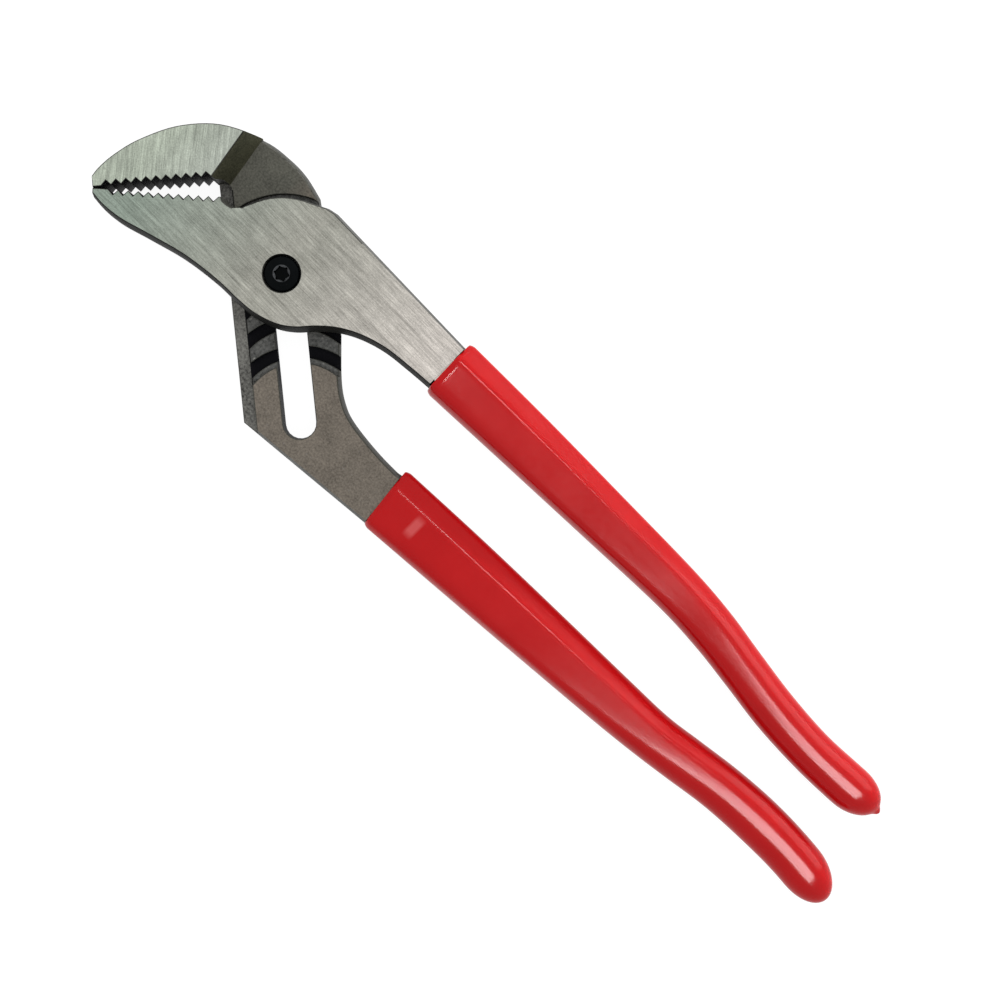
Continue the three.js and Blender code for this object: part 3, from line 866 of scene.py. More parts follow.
def placed(name: str, data: bpy.types.ID) -> bpy.types.Object:
    """Put a new object into the scene.

    Args:
        name: its name.
        data: the mesh, lamp or camera that it holds.

    Returns:
        The object.
    """
    thing = bpy.data.objects.new(name, data)
    bpy.context.scene.collection.objects.link(thing)
    return thing


def mesh_from(name: str, form: bmesh.types.BMesh) -> bpy.types.Mesh:
    """Turn a form into a new mesh and free it.

    Args:
        name: the mesh's name.
        form: the form to use up.

    Returns:
        The mesh.
    """
    mesh = bpy.data.meshes.new(name)
    form.to_mesh(mesh)
    form.free()
    return mesh


def settle_normals(mesh: bpy.types.Mesh) -> None:
    """Make a closed mesh's faces point outwards.

    Args:
        mesh: the mesh to settle.
    """
    form = bmesh.new()
    form.from_mesh(mesh)
    bmesh.ops.recalc_face_normals(form, faces=form.faces)
    if form.calc_volume(signed=True) < 0:
        bmesh.ops.reverse_faces(form, faces=form.faces)
    form.to_mesh(mesh)
    form.free()


@dataclass
class Piece:
    """A visible piece that stands for a CAD node and moves with its body."""

    name: str
    node: str
    body: str
    slot: str
    pivot: Vector
    shown: bpy.types.Object = field(init=False)

    def show(self, mesh: bpy.types.Mesh) -> None:
        """Put the piece into the scene.

        Args:
            mesh: its mesh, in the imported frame.
        """
        piece = placed(self.name, mesh)
        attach(piece, self.body)
        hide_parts(self.node)
        self.shown = piece

    def coat(self, materials: Iterable[bpy.types.Material]) -> None:
        """Give the piece its finishes, in the order that its faces count them."""
        for material in materials:
            self.shown.data.materials.append(material)

    def build(self) -> None:
        """Make the piece's mesh and show it; each kind of piece has its own way."""
        raise NotImplementedError

    def dress(self) -> None:
        """Finish the piece's surface; each kind of piece has its own way."""
        raise NotImplementedError


@dataclass
class Lever(Piece):
    """One forged lever, taken over from its CAD solid."""

    source: bpy.types.Object
    is_rear: bool
    grip: GripSizes
    finishes: dict[FaceKind, bpy.types.Material]
    rim: float = 0.22
    rim_segments: int = 2

    def build(self) -> None:
        """Copy the solid, ease its rims and sort its faces."""
        form = bmesh.new()
        form.from_mesh(self.source.data)
        bmesh.ops.remove_doubles(form, verts=form.verts, dist=WELD)
        bmesh.ops.dissolve_limit(form, angle_limit=FLAT_ANGLE, verts=form.verts, edges=form.edges)
        if self.is_rear:
            self._part_ledge(form)
        bmesh.ops.bevel(
            form,
            geom=self._rims(form),
            offset=self.rim * MM,
            offset_type="OFFSET",
            segments=self.rim_segments,
            profile=0.5,
            affect="EDGES",
            clamp_overlap=False,
        )
        bmesh.ops.remove_doubles(form, verts=form.verts, dist=WELD)
        kinds = list(self.finishes)
        tree = BVHTree.FromBMesh(form)
        for face in form.faces:
            face.smooth = True
            face.material_index = kinds.index(self._kind(face, tree))
        for edge in form.edges:
            edge.smooth = not self._is_crease(edge)
        self.show(mesh_from(self.name, form))

    def dress(self) -> None:
        """Give each kind of face its finish."""
        self.coat(self.finishes.values())

    def _rims(self, form: bmesh.types.BMesh) -> list[bmesh.types.BMEdge]:
        """Return the outer edges of the level faces, which the tool's maker breaks.

        Args:
            form: the lever's mesh.

        Returns:
            The edges to ease.
        """
        rims = []
        for edge in form.edges:
            if len(edge.link_faces) != 2 or edge.calc_length() < RIM_LEAST:
                continue
            if any(self._covered(vertex.co) for vertex in edge.verts):
                continue
            first, second = (abs(face.normal.z) > LEVEL_UP for face in edge.link_faces)
            if first != second and edge.is_convex and edge.calc_face_angle(0.0) > RIM_ANGLE:
                rims.append(edge)
        return rims

    def _part_ledge(self, form: bmesh.types.BMesh) -> None:
        """Part the groove floors from the ledge, which has another finish.

        Args:
            form: the lever's mesh.
        """
        across = Vector((-math.sin(SLOT_ANGLE), math.cos(SLOT_ANGLE), 0))
        for place in (LEDGE_WALL, LEDGE_WALL - LEDGE_LINE):
            floors = []
            for face in form.faces:
                off = abs(face.calc_center_median().z / MM - GROOVE_FLOOR)
                if face.normal.z > LEVEL_UP and off < LEVEL_MARGIN:
                    floors.append(face)
            parts = {item for face in floors for item in (*face.verts, *face.edges)}
            bmesh.ops.bisect_plane(
                form,
                geom=[*parts, *floors],
                dist=CUT_SLACK,
                plane_co=self.pivot + across * (place * MM),
                plane_no=across,
            )

    @staticmethod
    def _is_crease(edge: bmesh.types.BMEdge) -> bool:
        """Tell whether the shading breaks along an edge.

        Args:
            edge: an edge of the lever.

        Returns:
            True at corners and round every level face.
        """
        if len(edge.link_faces) != 2:
            return True
        angle = edge.calc_face_angle(0.0)
        level = any(abs(face.normal.z) > LEVEL_UP for face in edge.link_faces)
        return angle > CREASE_ANGLE or (level and angle > LEVEL_CREASE_ANGLE)

    def _covered(self, spot: Vector) -> bool:
        """Tell whether a place lies at or beyond the grip's mouth.

        Args:
            spot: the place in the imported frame.

        Returns:
            True at the mouth and inside the grip.
        """
        flat = (spot - self.pivot) / MM
        lean = math.tan(math.radians(self.grip.tilt))
        mouth = self.grip.mouth - lean * (flat.y - self.grip.middle)
        return flat.x > mouth - FIT - MOUTH_MARGIN

    @staticmethod
    def _faces_metal(face: bmesh.types.BMFace, tree: BVHTree) -> bool:
        """Tell whether a wall looks at another part of its lever.

        Args:
            face: an upright face of the lever.
            tree: the lever's faces.

        Returns:
            True for a groove's wall, False for the outer flank.
        """
        look = Vector((face.normal.x, face.normal.y, 0)).normalized()
        start = face.calc_center_median() + look * (RAY_LIFT * MM)
        return tree.ray_cast(start, look)[0] is not None

    def _kind(self, face: bmesh.types.BMFace, tree: BVHTree) -> FaceKind:
        """Tell how a face was made, or which painted shade it takes, from where it lies and looks.

        Args:
            face: a face of the lever.
            tree: the lever's faces.

        Returns:
            Its kind.
        """
        middle = face.calc_center_median() / MM
        flat = Vector((middle.x - self.pivot.x / MM, middle.y - self.pivot.y / MM))
        up = face.normal.z
        if self._in_teeth(flat) and abs(up) < TOOTH_UP:
            return FaceKind.TEETH
        if up < BACK_UP:
            return FaceKind.BACK
        if up > LEVEL_UP:
            return self._level_kind(middle.z, flat)
        if not self.is_rear:
            # Front flanks that face the low window stay lit; the rest take a painted shade
            return FaceKind.FLANK if face.normal.y > LIT_SIDE else FaceKind.SCALE
        above_plate = middle.z > PLATE_THICKNESS - LEVEL_MARGIN
        if RAMP_UP[0] < up < RAMP_UP[1] and above_plate and flat.x > RAMP_FROM:
            return FaceKind.RAMP
        in_groove = GROOVE_FLOOR - STEP_MARGIN < middle.z < PAD_LEVEL + PAD_MARGIN
        # Walls that look at other metal lie in shade and take the painted groove shade
        if in_groove and abs(up) < WALL_UP and self._across(flat) > LEDGE_WALL:
            if self._faces_metal(face, tree):
                return FaceKind.GROOVE
        outwards = up > WALL_UP and face.normal.y > OUTWARD
        below_plate = middle.z < PLATE_THICKNESS + LEVEL_MARGIN
        if outwards and below_plate and BRIGHT_RIM[0] < flat.x < BRIGHT_RIM[1]:
            return FaceKind.LEDGE
        return FaceKind.FLANK

    def _level_kind(self, height: float, flat: Vector) -> FaceKind:
        """Tell the kind of a face that looks up.

        Args:
            height: its level.
            flat: its place from the pivot.

        Returns:
            Its kind.
        """
        if height > JOINT_THICKNESS - TOP_MARGIN:
            return FaceKind.JAW_TOP if self.is_rear else FaceKind.GROUND
        if not self.is_rear:
            return FaceKind.FLANK
        if height > PAD_LEVEL + STEP_MARGIN:
            return FaceKind.PLATE
        if height > GROOVE_FLOOR + STEP_MARGIN:
            behind = flat.x * math.cos(SLOT_ANGLE) + flat.y * math.sin(SLOT_ANGLE) < 0
            # The pad's recess beyond the tongue takes the painted groove shade
            return FaceKind.GROOVE if behind and flat.length > TONGUE_REACH else FaceKind.RIB
        on_ledge = self._across(flat) < LEDGE_WALL - LEDGE_LINE
        return FaceKind.LEDGE if on_ledge else FaceKind.GROOVE

    @staticmethod
    def _across(flat: Vector) -> float:
        """Return how far a place lies across the slot, negative on the jaw's side."""
        return flat.y * math.cos(SLOT_ANGLE) - flat.x * math.sin(SLOT_ANGLE)

    def _in_teeth(self, flat: Vector) -> bool:
        """Tell whether a place lies in this lever's row of teeth.

        Args:
            flat: the place from the pivot.

        Returns:
            True within the depth of the teeth.
        """
        side = 1 if self.is_rear else -1
        angle = math.radians(JAW_LINE_ANGLE + side * JAW_WEDGE_ANGLE / 2)
        along = Vector((math.cos(angle), math.sin(angle)))
        inward = Vector((-along.y, along.x)) * side
        offset = flat - JAW_TIP - inward * (JAW_TIP_GAP / 2)
        deep = -TOOTH_MARGIN < offset.dot(inward) < TOOTH_DEPTH + TOOTH_MARGIN
        return deep and -TIP_MARGIN < offset.dot(along) < TOOTHED_LENGTH


@dataclass(frozen=True)
class GripRow:
    """One place along a grip, in shares of its sizes."""

    along: float
    sway: float
    width: float
    full: float


@dataclass(frozen=True)
class GripSizes:
    """Sizes of one grip, from the pivot axis."""

    mouth: float
    tilt: float
    length: float
    end_radius: float
    middle: float
    sway: float
    width: float
    mouth_height: float
    mouth_half: float
    drip: float
    rows: tuple[GripRow, ...]


FRONT_GRIP = GripSizes(
    mouth=45.2,
    tilt=2.0,
    length=152.4,
    end_radius=9.0,
    middle=12.4,
    sway=4.8,
    width=17.0,
    mouth_height=8.9,
    mouth_half=GRIP_HALF,
    drip=1.0,
    rows=(
        GripRow(0, 0, 1, 0),
        GripRow(0.171, 0.135, 0.94, 0.38),
        GripRow(0.341, 0.229, 0.857, 0.75),
        GripRow(0.512, 0.312, 0.762, 1),
        GripRow(0.604, 0.156, 0.726, 1),
        GripRow(0.682, -0.167, 0.696, 1),
        GripRow(0.768, -0.531, 0.685, 1),
        GripRow(0.853, -0.688, 0.667, 1),
        GripRow(0.925, -0.615, 0.679, 1),
        GripRow(1, -0.458, 0.679, 1),
    ),
)
REAR_GRIP = GripSizes(
    mouth=SLOT_TRAVEL * math.cos(SLOT_ANGLE) + REAR_MOUTH_REACH,
    tilt=6.5,
    length=147.9,
    end_radius=10.0,
    middle=SLOT_TRAVEL * math.sin(SLOT_ANGLE) + REAR_MOUTH_RISE,
    sway=9.1,
    width=18.0,
    mouth_height=REAR_MOUTH_HALF,
    mouth_half=REAR_MOUTH_HALF,
    drip=0.0,
    rows=(
        GripRow(0, 0, 1, 0),
        GripRow(0.169, 0.17, 0.955, 0.754),
        GripRow(0.338, 0.319, 0.876, 1),
        GripRow(0.507, 0.472, 0.77, 1),
        GripRow(0.595, 0.577, 0.708, 1),
        GripRow(0.663, 0.731, 0.702, 1),
        GripRow(0.744, 0.918, 0.691, 1),
        GripRow(0.825, 1, 0.697, 1),
        GripRow(0.906, 0.984, 0.68, 1),
        GripRow(1, 0.835, 0.674, 1),
    ),
)


@dataclass(frozen=True)
class Station:
    """One ring of a grip in metres: middle, half sizes, lean, roundness and shrink."""

    middle: Vector
    half_width: float
    half_height: float
    lean: float
    roundness: float
    shrink: float


@dataclass
class GripPath:
    """Smooth course of a grip through its rows."""

    sizes: GripSizes
    pivot: Vector
    knots: list[tuple[float, ...]] = field(init=False)

    def __post_init__(self) -> None:
        """Turn the rows' shares into lengths."""
        sizes = self.sizes
        self.knots = [
            (
                row.along * sizes.length,
                sizes.middle + row.sway * sizes.sway,
                lerp(sizes.mouth_height, GRIP_HALF, row.full),
                row.width * sizes.width / 2,
                lerp(sizes.mouth_half, GRIP_HALF, row.full),
            )
            for row in sizes.rows
        ]

    def at(self, parameter: float) -> list[float]:
        """Return the course's numbers at a curve parameter.

        Args:
            parameter: from 0 at the mouth to 1 at the end.

        Returns:
            Distance, sway, height, half width and half thickness.
        """
        knots = self.knots
        place = parameter * (len(knots) - 1)
        index = min(len(knots) - 2, int(place))
        share = place - index
        second, third = knots[index], knots[index + 1]
        first = knots[index - 1] if index else [2 * a - b for a, b in zip(second, third)]
        inside = index + 2 < len(knots)
        fourth = knots[index + 2] if inside else [2 * b - a for a, b in zip(second, third)]
        return [self._blend(share, *four) for four in zip(first, second, third, fourth)]

    @staticmethod
    def _blend(share: float, first: float, second: float, third: float, fourth: float) -> float:
        """Return the smooth curve's value between its second and third knot.

        Args:
            share: place between the two knots.
            first: value before them.
            second: value at the start.
            third: value at the end.
            fourth: value after them.

        Returns:
            The value in between.
        """
        start = (third - first) / 2
        end = (fourth - second) / 2
        cube = 2 * second - 2 * third + start + end
        square = 3 * third - 3 * second - 2 * start - end
        return ((cube * share + square) * share + start) * share + second

    def station(self, distance: float, inset: float, shrink: float = 1.0) -> Station:
        """Return the ring at a distance from the mouth.

        Args:
            distance: from the mouth.
            inset: how far the ring lies inside the skin.
            shrink: scale of the ring, for the rounded end.

        Returns:
            The ring.
        """
        low, high = 0.0, 1.0
        for _ in range(SEARCH_STEPS):
            half = (low + high) / 2
            low, high = (half, high) if self.at(half)[0] < distance else (low, half)
        along, sway, height, half_width, half_height = self.at((low + high) / 2)
        fade = max(0.0, 1 - along / MOUTH_TILT_FADE)
        past = min(0.0, distance) + max(0.0, distance - self.sizes.length)
        place = Vector((self.sizes.mouth + along + past, sway, height)) * MM
        return Station(
            middle=place + Vector((self.pivot.x, self.pivot.y, 0)),
            half_width=(half_width - inset) * MM,
            half_height=(half_height - inset) * MM,
            lean=math.tan(math.radians(self.sizes.tilt)) * fade,
            roundness=smoothstep(along / self.sizes.length, *GRIP_ROUND),
            shrink=shrink,
        )

    def stations(self) -> list[Station]:
        """Return every ring, from the bore's end over the lip to the outer end.

        Returns:
            The rings in order.
        """
        bore = self._skin(GRIP_WALL, -GRIP_LIP_AHEAD, BORE_STEPS)
        lip = []
        for step in range(GRIP_LIP_STEPS + 1):
            share = step / GRIP_LIP_STEPS
            distance = GRIP_LIP_LENGTH * share**GRIP_LIP_RUN - GRIP_LIP_AHEAD
            lip.append(self.station(distance, GRIP_LIP_INSET * (1 - share) ** GRIP_LIP_ROLL))
        skin = self._skin(0.0, GRIP_LIP_LENGTH + GRIP_LIP_REST, SKIN_STEPS)
        if self.sizes.drip:
            skin[-DRIP_REPLACES:] = [
                self.station(self.sizes.length + reach * self.sizes.drip, 0.0, shrink)
                for reach, shrink in DRIP_RINGS
            ]
        return bore[::-1] + lip + skin

    def _skin(self, inset: float, start: float, steps: int) -> list[Station]:
        """Return the rings of one skin from the mouth to its rounded end.

        Args:
            inset: depth under the outer skin.
            start: first distance from the mouth.
            steps: number of rings along the straight part.

        Returns:
            The rings in order.
        """
        radius = self.sizes.end_radius - inset
        body = self.sizes.length - inset - radius
        rings = [self.station(lerp(start, body, i / steps), inset) for i in range(steps + 1)]
        for step in range(1, CAP_STEPS + 1):
            angle = math.radians(90 * step / CAP_STEPS)
            shrink = max(0.0, math.cos(angle))
            rings.append(self.station(body + radius * math.sin(angle), inset, shrink))
        return rings


class GripTree:
    """Geometry nodes rule that skins a row of stations with the grip's section."""

    ATTRIBUTES = ("half_width", "half_height", "lean", "roundness", "shrink")

    def __init__(self) -> None:
        """Build the tree and its helper group."""
        self.side = self._side_group()
        self.group = NodeGroup(
            "grip_skin",
            "GeometryNodeTree",
            [
                ("Geometry", GEOMETRY, None),
                ("Section Points", "NodeSocketInt", GRIP_POINTS),
                ("Edge Sharpness", FLOAT, GRIP_SHARPNESS),
                ("Edge Softness", FLOAT, GRIP_SOFTNESS),
                ("Ridge Outer", FLOAT, GRIP_RIDGE_OUTER),
                ("Ridge Inner", FLOAT, GRIP_RIDGE_INNER),
                ("Shoulder", FLOAT, GRIP_SHOULDER),
                ("Material", "NodeSocketMaterial", None),
            ],
            [("Geometry", GEOMETRY)],
        )
        self._wire()

    @staticmethod
    def _side_group() -> NodeGroup:
        """Make the group for one sloped side of the section.

        Returns:
            A group that gives the side's share of the section's power sum.
        """
        names = ("Across", "Up", "Ridge", "Shoulder", "Power")
        group = NodeGroup(
            "section_side",
            "GeometryNodeTree",
            [(name, FLOAT, 0.0) for name in names],
            [("Term", FLOAT)],
        )
        canvas, source = group.canvas, group.source
        drop = canvas.math("SUBTRACT", 1.0, source["Shoulder"])
        run = canvas.math("SUBTRACT", 1.0, source["Ridge"])
        reach = canvas.math("ADD", canvas.math("MULTIPLY", drop, source["Ridge"]), run)
        over = canvas.math("MULTIPLY", source["Across"], drop)
        rise = canvas.math("MULTIPLY", source["Up"], run)
        lean = canvas.math("DIVIDE", canvas.math("ADD", over, rise), reach)
        positive = canvas.math("MAXIMUM", lean, 0.0)
        group.give("Term", canvas.math("POWER", positive, source["Power"]))
        return group

    def _wire(self) -> None:
        """Join the tree's nodes."""
        canvas, source = self.group.canvas, self.group.source
        size = canvas.add(
            "GeometryNodeAttributeDomainSize", {0: source["Geometry"]}, component="MESH"
        )
        count = size.outputs["Point Count"]
        grid = canvas.add(
            "GeometryNodeMeshGrid",
            {
                "Size X": 1.0,
                "Size Y": 1.0,
                "Vertices X": canvas.math("ADD", source["Section Points"], 1.0),
                "Vertices Y": count,
            },
        )
        spot = canvas.split(canvas.add("GeometryNodeInputPosition").outputs[0])
        turn = canvas.math("MULTIPLY", canvas.math("ADD", spot[0], 0.5), 2 * math.pi)
        rows = canvas.math("SUBTRACT", count, 1.0)
        share = canvas.math("ADD", spot[1], 0.5)
        ring = canvas.math("ROUND", canvas.math("MULTIPLY", share, rows))
        offset = self._offset(canvas.math("COSINE", turn), canvas.math("SINE", turn), ring)
        middle = canvas.add("GeometryNodeInputPosition").outputs[0]
        feeds = {0: self._sample(middle, ring, "FLOAT_VECTOR"), 1: offset}
        place = canvas.add("ShaderNodeVectorMath", feeds, operation="ADD").outputs[0]
        feeds = {"Geometry": grid.outputs["Mesh"], "Position": place}
        shape = canvas.add("GeometryNodeSetPosition", feeds).outputs[0]
        for kind, extra in (
            ("GeometryNodeMergeByDistance", {"Distance": WELD}),
            ("GeometryNodeSetShadeSmooth", {}),
            ("GeometryNodeRealizeInstances", {}),
            ("GeometryNodeSetMaterial", {"Material": source["Material"]}),
        ):
            shape = canvas.add(kind, {"Geometry": shape, **extra}).outputs[0]
        self.group.give("Geometry", shape)

    def _offset(self, across: Socket, up: Socket, ring: Socket) -> Socket:
        """Return where the section lies from its ring's middle.

        Args:
            across: the direction's cosine.
            up: the direction's sine.
            ring: the station's index.

        Returns:
            The offset.
        """
        canvas = self.group.canvas
        values = {}
        for name in self.ATTRIBUTES:
            named = canvas.add("GeometryNodeInputNamedAttribute", {"Name": name}, data_type="FLOAT")
            values[name] = self._sample(named.outputs[0], ring, "FLOAT")
        flat = self._section(across, up)
        rounder = canvas.math("SUBTRACT", 1.0, flat)
        reach = canvas.math("ADD", flat, canvas.math("MULTIPLY", rounder, values["roundness"]))
        reach = canvas.math("MULTIPLY", reach, values["shrink"])
        side = canvas.math("MULTIPLY", canvas.math("MULTIPLY", values["half_width"], reach), across)
        rise = canvas.math("MULTIPLY", canvas.math("MULTIPLY", values["half_height"], reach), up)
        back = canvas.math("MULTIPLY", canvas.math("MULTIPLY", values["lean"], side), -1.0)
        return canvas.add("ShaderNodeCombineXYZ", {0: back, 1: side, 2: rise}).outputs[0]

    def _section(self, across: Socket, up: Socket) -> Socket:
        """Return how far the faceted section reaches in a direction.

        Args:
            across: the direction's cosine.
            up: the direction's sine.

        Returns:
            The reach in shares of the half sizes.
        """
        canvas, source = self.group.canvas, self.group.source
        sharp, soft = source["Edge Sharpness"], source["Edge Softness"]
        total = canvas.math(
            "ADD",
            canvas.math("POWER", canvas.math("ABSOLUTE", across), sharp),
            canvas.math("POWER", canvas.math("ABSOLUTE", up), sharp),
        )
        for ridge, sign, power in (("Ridge Outer", 1.0, sharp), ("Ridge Inner", -1.0, soft)):
            if sign < 0:
                total = canvas.math("POWER", total, canvas.math("DIVIDE", soft, sharp))
            for face in (1.0, -1.0):
                feeds = {
                    "Across": canvas.math("MULTIPLY", across, sign),
                    "Up": canvas.math("MULTIPLY", up, face),
                    "Ridge": source[ridge],
                    "Shoulder": source["Shoulder"],
                    "Power": power,
                }
                side = canvas.add("GeometryNodeGroup", feeds, node_tree=self.side.canvas.tree)
                total = canvas.math("ADD", total, side.outputs["Term"])
        return canvas.math("POWER", total, canvas.math("DIVIDE", -1.0, soft))

    def _sample(self, value: Socket, ring: Socket, kind: str) -> Socket:
        """Return a value of the station with an index."""
        feeds = {"Geometry": self.group.source["Geometry"], "Value": value, "Index": ring}
        return self.group.canvas.add("GeometryNodeSampleIndex", feeds, data_type=kind).outputs[0]


@dataclass
class Grip(Piece):
    """One dipped vinyl grip."""

    sizes: GripSizes
    tree: GripTree
    finish: bpy.types.Material

    def build(self) -> None:
        """Skin the grip's stations and keep the result as a plain mesh."""
        carrier = self._carrier(GripPath(self.sizes, self.pivot).stations())
        modifier = carrier.modifiers.new("skin", "NODES")
        modifier.node_group = self.tree.group.canvas.tree
        modifier[self.tree.group.identifier("Material")] = self.finish
        depsgraph = bpy.context.evaluated_depsgraph_get()
        skinned = carrier.evaluated_get(depsgraph)
        mesh = bpy.data.meshes.new_from_object(skinned, depsgraph=depsgraph)
        bpy.data.objects.remove(carrier)
        mesh.name = self.name
        settle_normals(mesh)
        self.show(mesh)

    def dress(self) -> None:
        """Round the shading everywhere but at the mouth's inner edge."""
        self.shown.data.shade_smooth()
        self.shown.data.set_sharp_from_angle(angle=GRIP_CREASE)

    def _carrier(self, stations: list[Station]) -> bpy.types.Object:
        """Store the stations as points with attributes.

        Args:
            stations: the rings in order.

        Returns:
            A helper object.
        """
        mesh = bpy.data.meshes.new(self.name + "_stations")
        mesh.from_pydata([station.middle for station in stations], [], [])
        for name in GripTree.ATTRIBUTES:
            layer = mesh.attributes.new(name, "FLOAT", "POINT")
            layer.data.foreach_set("value", [getattr(station, name) for station in stations])
        return placed(mesh.name, mesh)


@dataclass(frozen=True)
class Ring:
    """One turned ring: its radius at an angle, its height and the band that starts there."""

    radius: Callable[[float], float]
    height: float
    band: Band = Band.BLACK


def round_ring(radius: float, height: float, band: Band = Band.BLACK) -> Ring:
    """Return a circular ring and the band that starts there."""
    return Ring(lambda angle: radius, height, band)


def socket_ring(apothem: float, height: float, band: Band = Band.BLACK) -> Ring:
    """Return a ring with the socket's flat sides.

    Args:
        apothem: distance of its sides from the axis.
        height: its level.
        band: the band that starts here.

    Returns:
        The ring.
    """
    step = 2 * math.pi / SOCKET_SIDES

    def radius(angle: float) -> float:
        """Return the radius at an angle."""
        turn = (angle + step / 2) % step - step / 2
        return apothem / math.cos(turn)

    return Ring(radius, height, band)


@dataclass
class TurnedPiece(Piece):
    """A piece built from rings about the pivot axis."""

    finishes: Sequence[bpy.types.Material]
    has_bore: bool = False
    points: int = 96

    def rings(self) -> list[Ring]:
        """Return the rings in order; each kind of piece has its own."""
        raise NotImplementedError

    def build(self) -> None:
        """Loft the rings; with a bore the last one joins the first."""
        form = bmesh.new()
        rings = self.rings()
        loops = []
        for ring in rings:
            loops.append([form.verts.new(self._place(ring, i)) for i in range(self.points)])
        pairs = list(zip(rings, loops, loops[1:]))
        if self.has_bore:
            pairs.append((rings[-1], loops[-1], loops[0]))
        for ring, low, high in pairs:
            for i in range(self.points):
                j = (i + 1) % self.points
                face = form.faces.new((low[i], low[j], high[j], high[i]))
                face.material_index = ring.band
        if not self.has_bore:
            form.faces.new(loops[0][::-1]).material_index = rings[0].band
            form.faces.new(loops[-1]).material_index = rings[-1].band
        for face in form.faces:
            face.smooth = True
        mesh = mesh_from(self.name, form)
        settle_normals(mesh)
        mesh.set_sharp_from_angle(angle=TURNED_CREASE)
        self.show(mesh)

    def dress(self) -> None:
        """Give the piece's bands their finishes."""
        self.coat(self.finishes)

    def _place(self, ring: Ring, index: int) -> Vector:
        """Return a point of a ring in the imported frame.

        Args:
            ring: the ring.
            index: which point.

        Returns:
            The point in metres.
        """
        angle = 2 * math.pi * index / self.points
        radius = ring.radius(angle)
        spot = Vector((radius * math.cos(angle), radius * math.sin(angle), ring.height)) * MM
        return spot + Vector((self.pivot.x, self.pivot.y, 0))


@dataclass
class PivotScrew(TurnedPiece):
    """Button-head screw with a hexagon socket."""

    def rings(self) -> list[Ring]:
        """Return the rings from the socket's floor over the head to the tip.

        Returns:
            The rings.
        """
        corner = SOCKET_APOTHEM / math.cos(math.pi / SOCKET_SIDES)
        rings = [
            socket_ring(SOCKET_DRILL_RADIUS, SOCKET_FLOOR - SOCKET_DRILL_DEPTH),
            socket_ring(SOCKET_APOTHEM - SOCKET_EASE, SOCKET_FLOOR),
            socket_ring(SOCKET_APOTHEM, SOCKET_FLOOR + SOCKET_EASE),
            socket_ring(SOCKET_APOTHEM, SCREW_CROWN - SOCKET_CHAMFER, Band.WORN),
        ]
        for reach, drop, band in SOCKET_MOUTH:
            rings.append(round_ring(corner + reach, SCREW_CROWN - drop, band))
        for angle in SCREW_CROWN_ANGLES:
            turn = math.radians(angle)
            height = SCREW_RIM + (SCREW_CROWN - SCREW_RIM) * math.sin(turn)
            radius = SCREW_HEAD_RADIUS * math.cos(turn) ** SCREW_CROWN_POWER
            rings.append(round_ring(radius, height))
        shank = SCREW_SHANK_RADIUS
        rings += [
            round_ring(SCREW_HEAD_RADIUS, SCREW_RIM),
            round_ring(SCREW_HEAD_RADIUS, SCREW_SEAT + TURNED_EASE),
            round_ring(SCREW_HEAD_RADIUS - TURNED_EASE, SCREW_SEAT),
            round_ring(shank + TURNED_EASE, SCREW_SEAT),
            round_ring(shank, SCREW_SEAT - TURNED_EASE),
            round_ring(shank, SCREW_END + SCREW_END_TAPER),
            round_ring(shank - SCREW_END_TAPER, SCREW_END),
        ]
        return rings


@dataclass
class PivotNut(TurnedPiece):
    """Flanged barrel nut that slides in the slot."""

    has_bore: bool = True

    def rings(self) -> list[Ring]:
        """Return the rings round the nut's section.

        Returns:
            The rings.
        """
        low, high = FIT, FIT + NUT_FLANGE_THICKNESS
        return [
            round_ring(NUT_BORE_RADIUS, low + NUT_BORE_EASE),
            round_ring(NUT_BORE_RADIUS + NUT_BORE_EASE, low),
            self._flange(low, NUT_FLANGE_EDGE),
            self._flange(low + NUT_FLANGE_EDGE, 0.0),
            self._flange(high - TURNED_EASE, 0.0),
            self._flange(high, TURNED_EASE),
            round_ring(NUT_BARREL_RADIUS, high),
            round_ring(NUT_BARREL_RADIUS, NUT_TOP - TURNED_EASE),
            round_ring(NUT_BARREL_RADIUS - TURNED_EASE, NUT_TOP),
            round_ring(NUT_BORE_RADIUS + TURNED_EASE, NUT_TOP),
            round_ring(NUT_BORE_RADIUS, NUT_TOP - TURNED_EASE),
        ]

    @staticmethod
    def _flange(height: float, inset: float) -> Ring:
        """Return a ring of the flange, round with two flats along the slot.

        Args:
            height: its level.
            inset: how far its edge is broken.

        Returns:
            The ring.
        """
        reach = NUT_FLANGE_RADIUS - inset
        flat = NUT_FLANGE_APOTHEM - inset

        def radius(angle: float) -> float:
            """Return the radius at an angle."""
            return flat / max(abs(math.sin(angle - SLOT_ANGLE)), flat / reach)

        return Ring(radius, height)


@dataclass(frozen=True)
class Lamp:
    """A soft rectangular lamp, in metres and watts."""

    name: str
    place: Spot
    target: Spot
    size: Pair
    power: float

    def make(self) -> bpy.types.Object:
        """Put the lamp into the scene.

        Returns:
            The lamp.
        """
        data = bpy.data.lights.new(self.name, "AREA")
        data.shape = "RECTANGLE"
        data.size, data.size_y = self.size
        data.energy = self.power
        lamp = placed(self.name, data)
        lamp.location = self.place
        aim = Vector(self.target) - Vector(self.place)
        lamp.rotation_euler = aim.to_track_quat("-Z", "Y").to_euler()
        return lamp


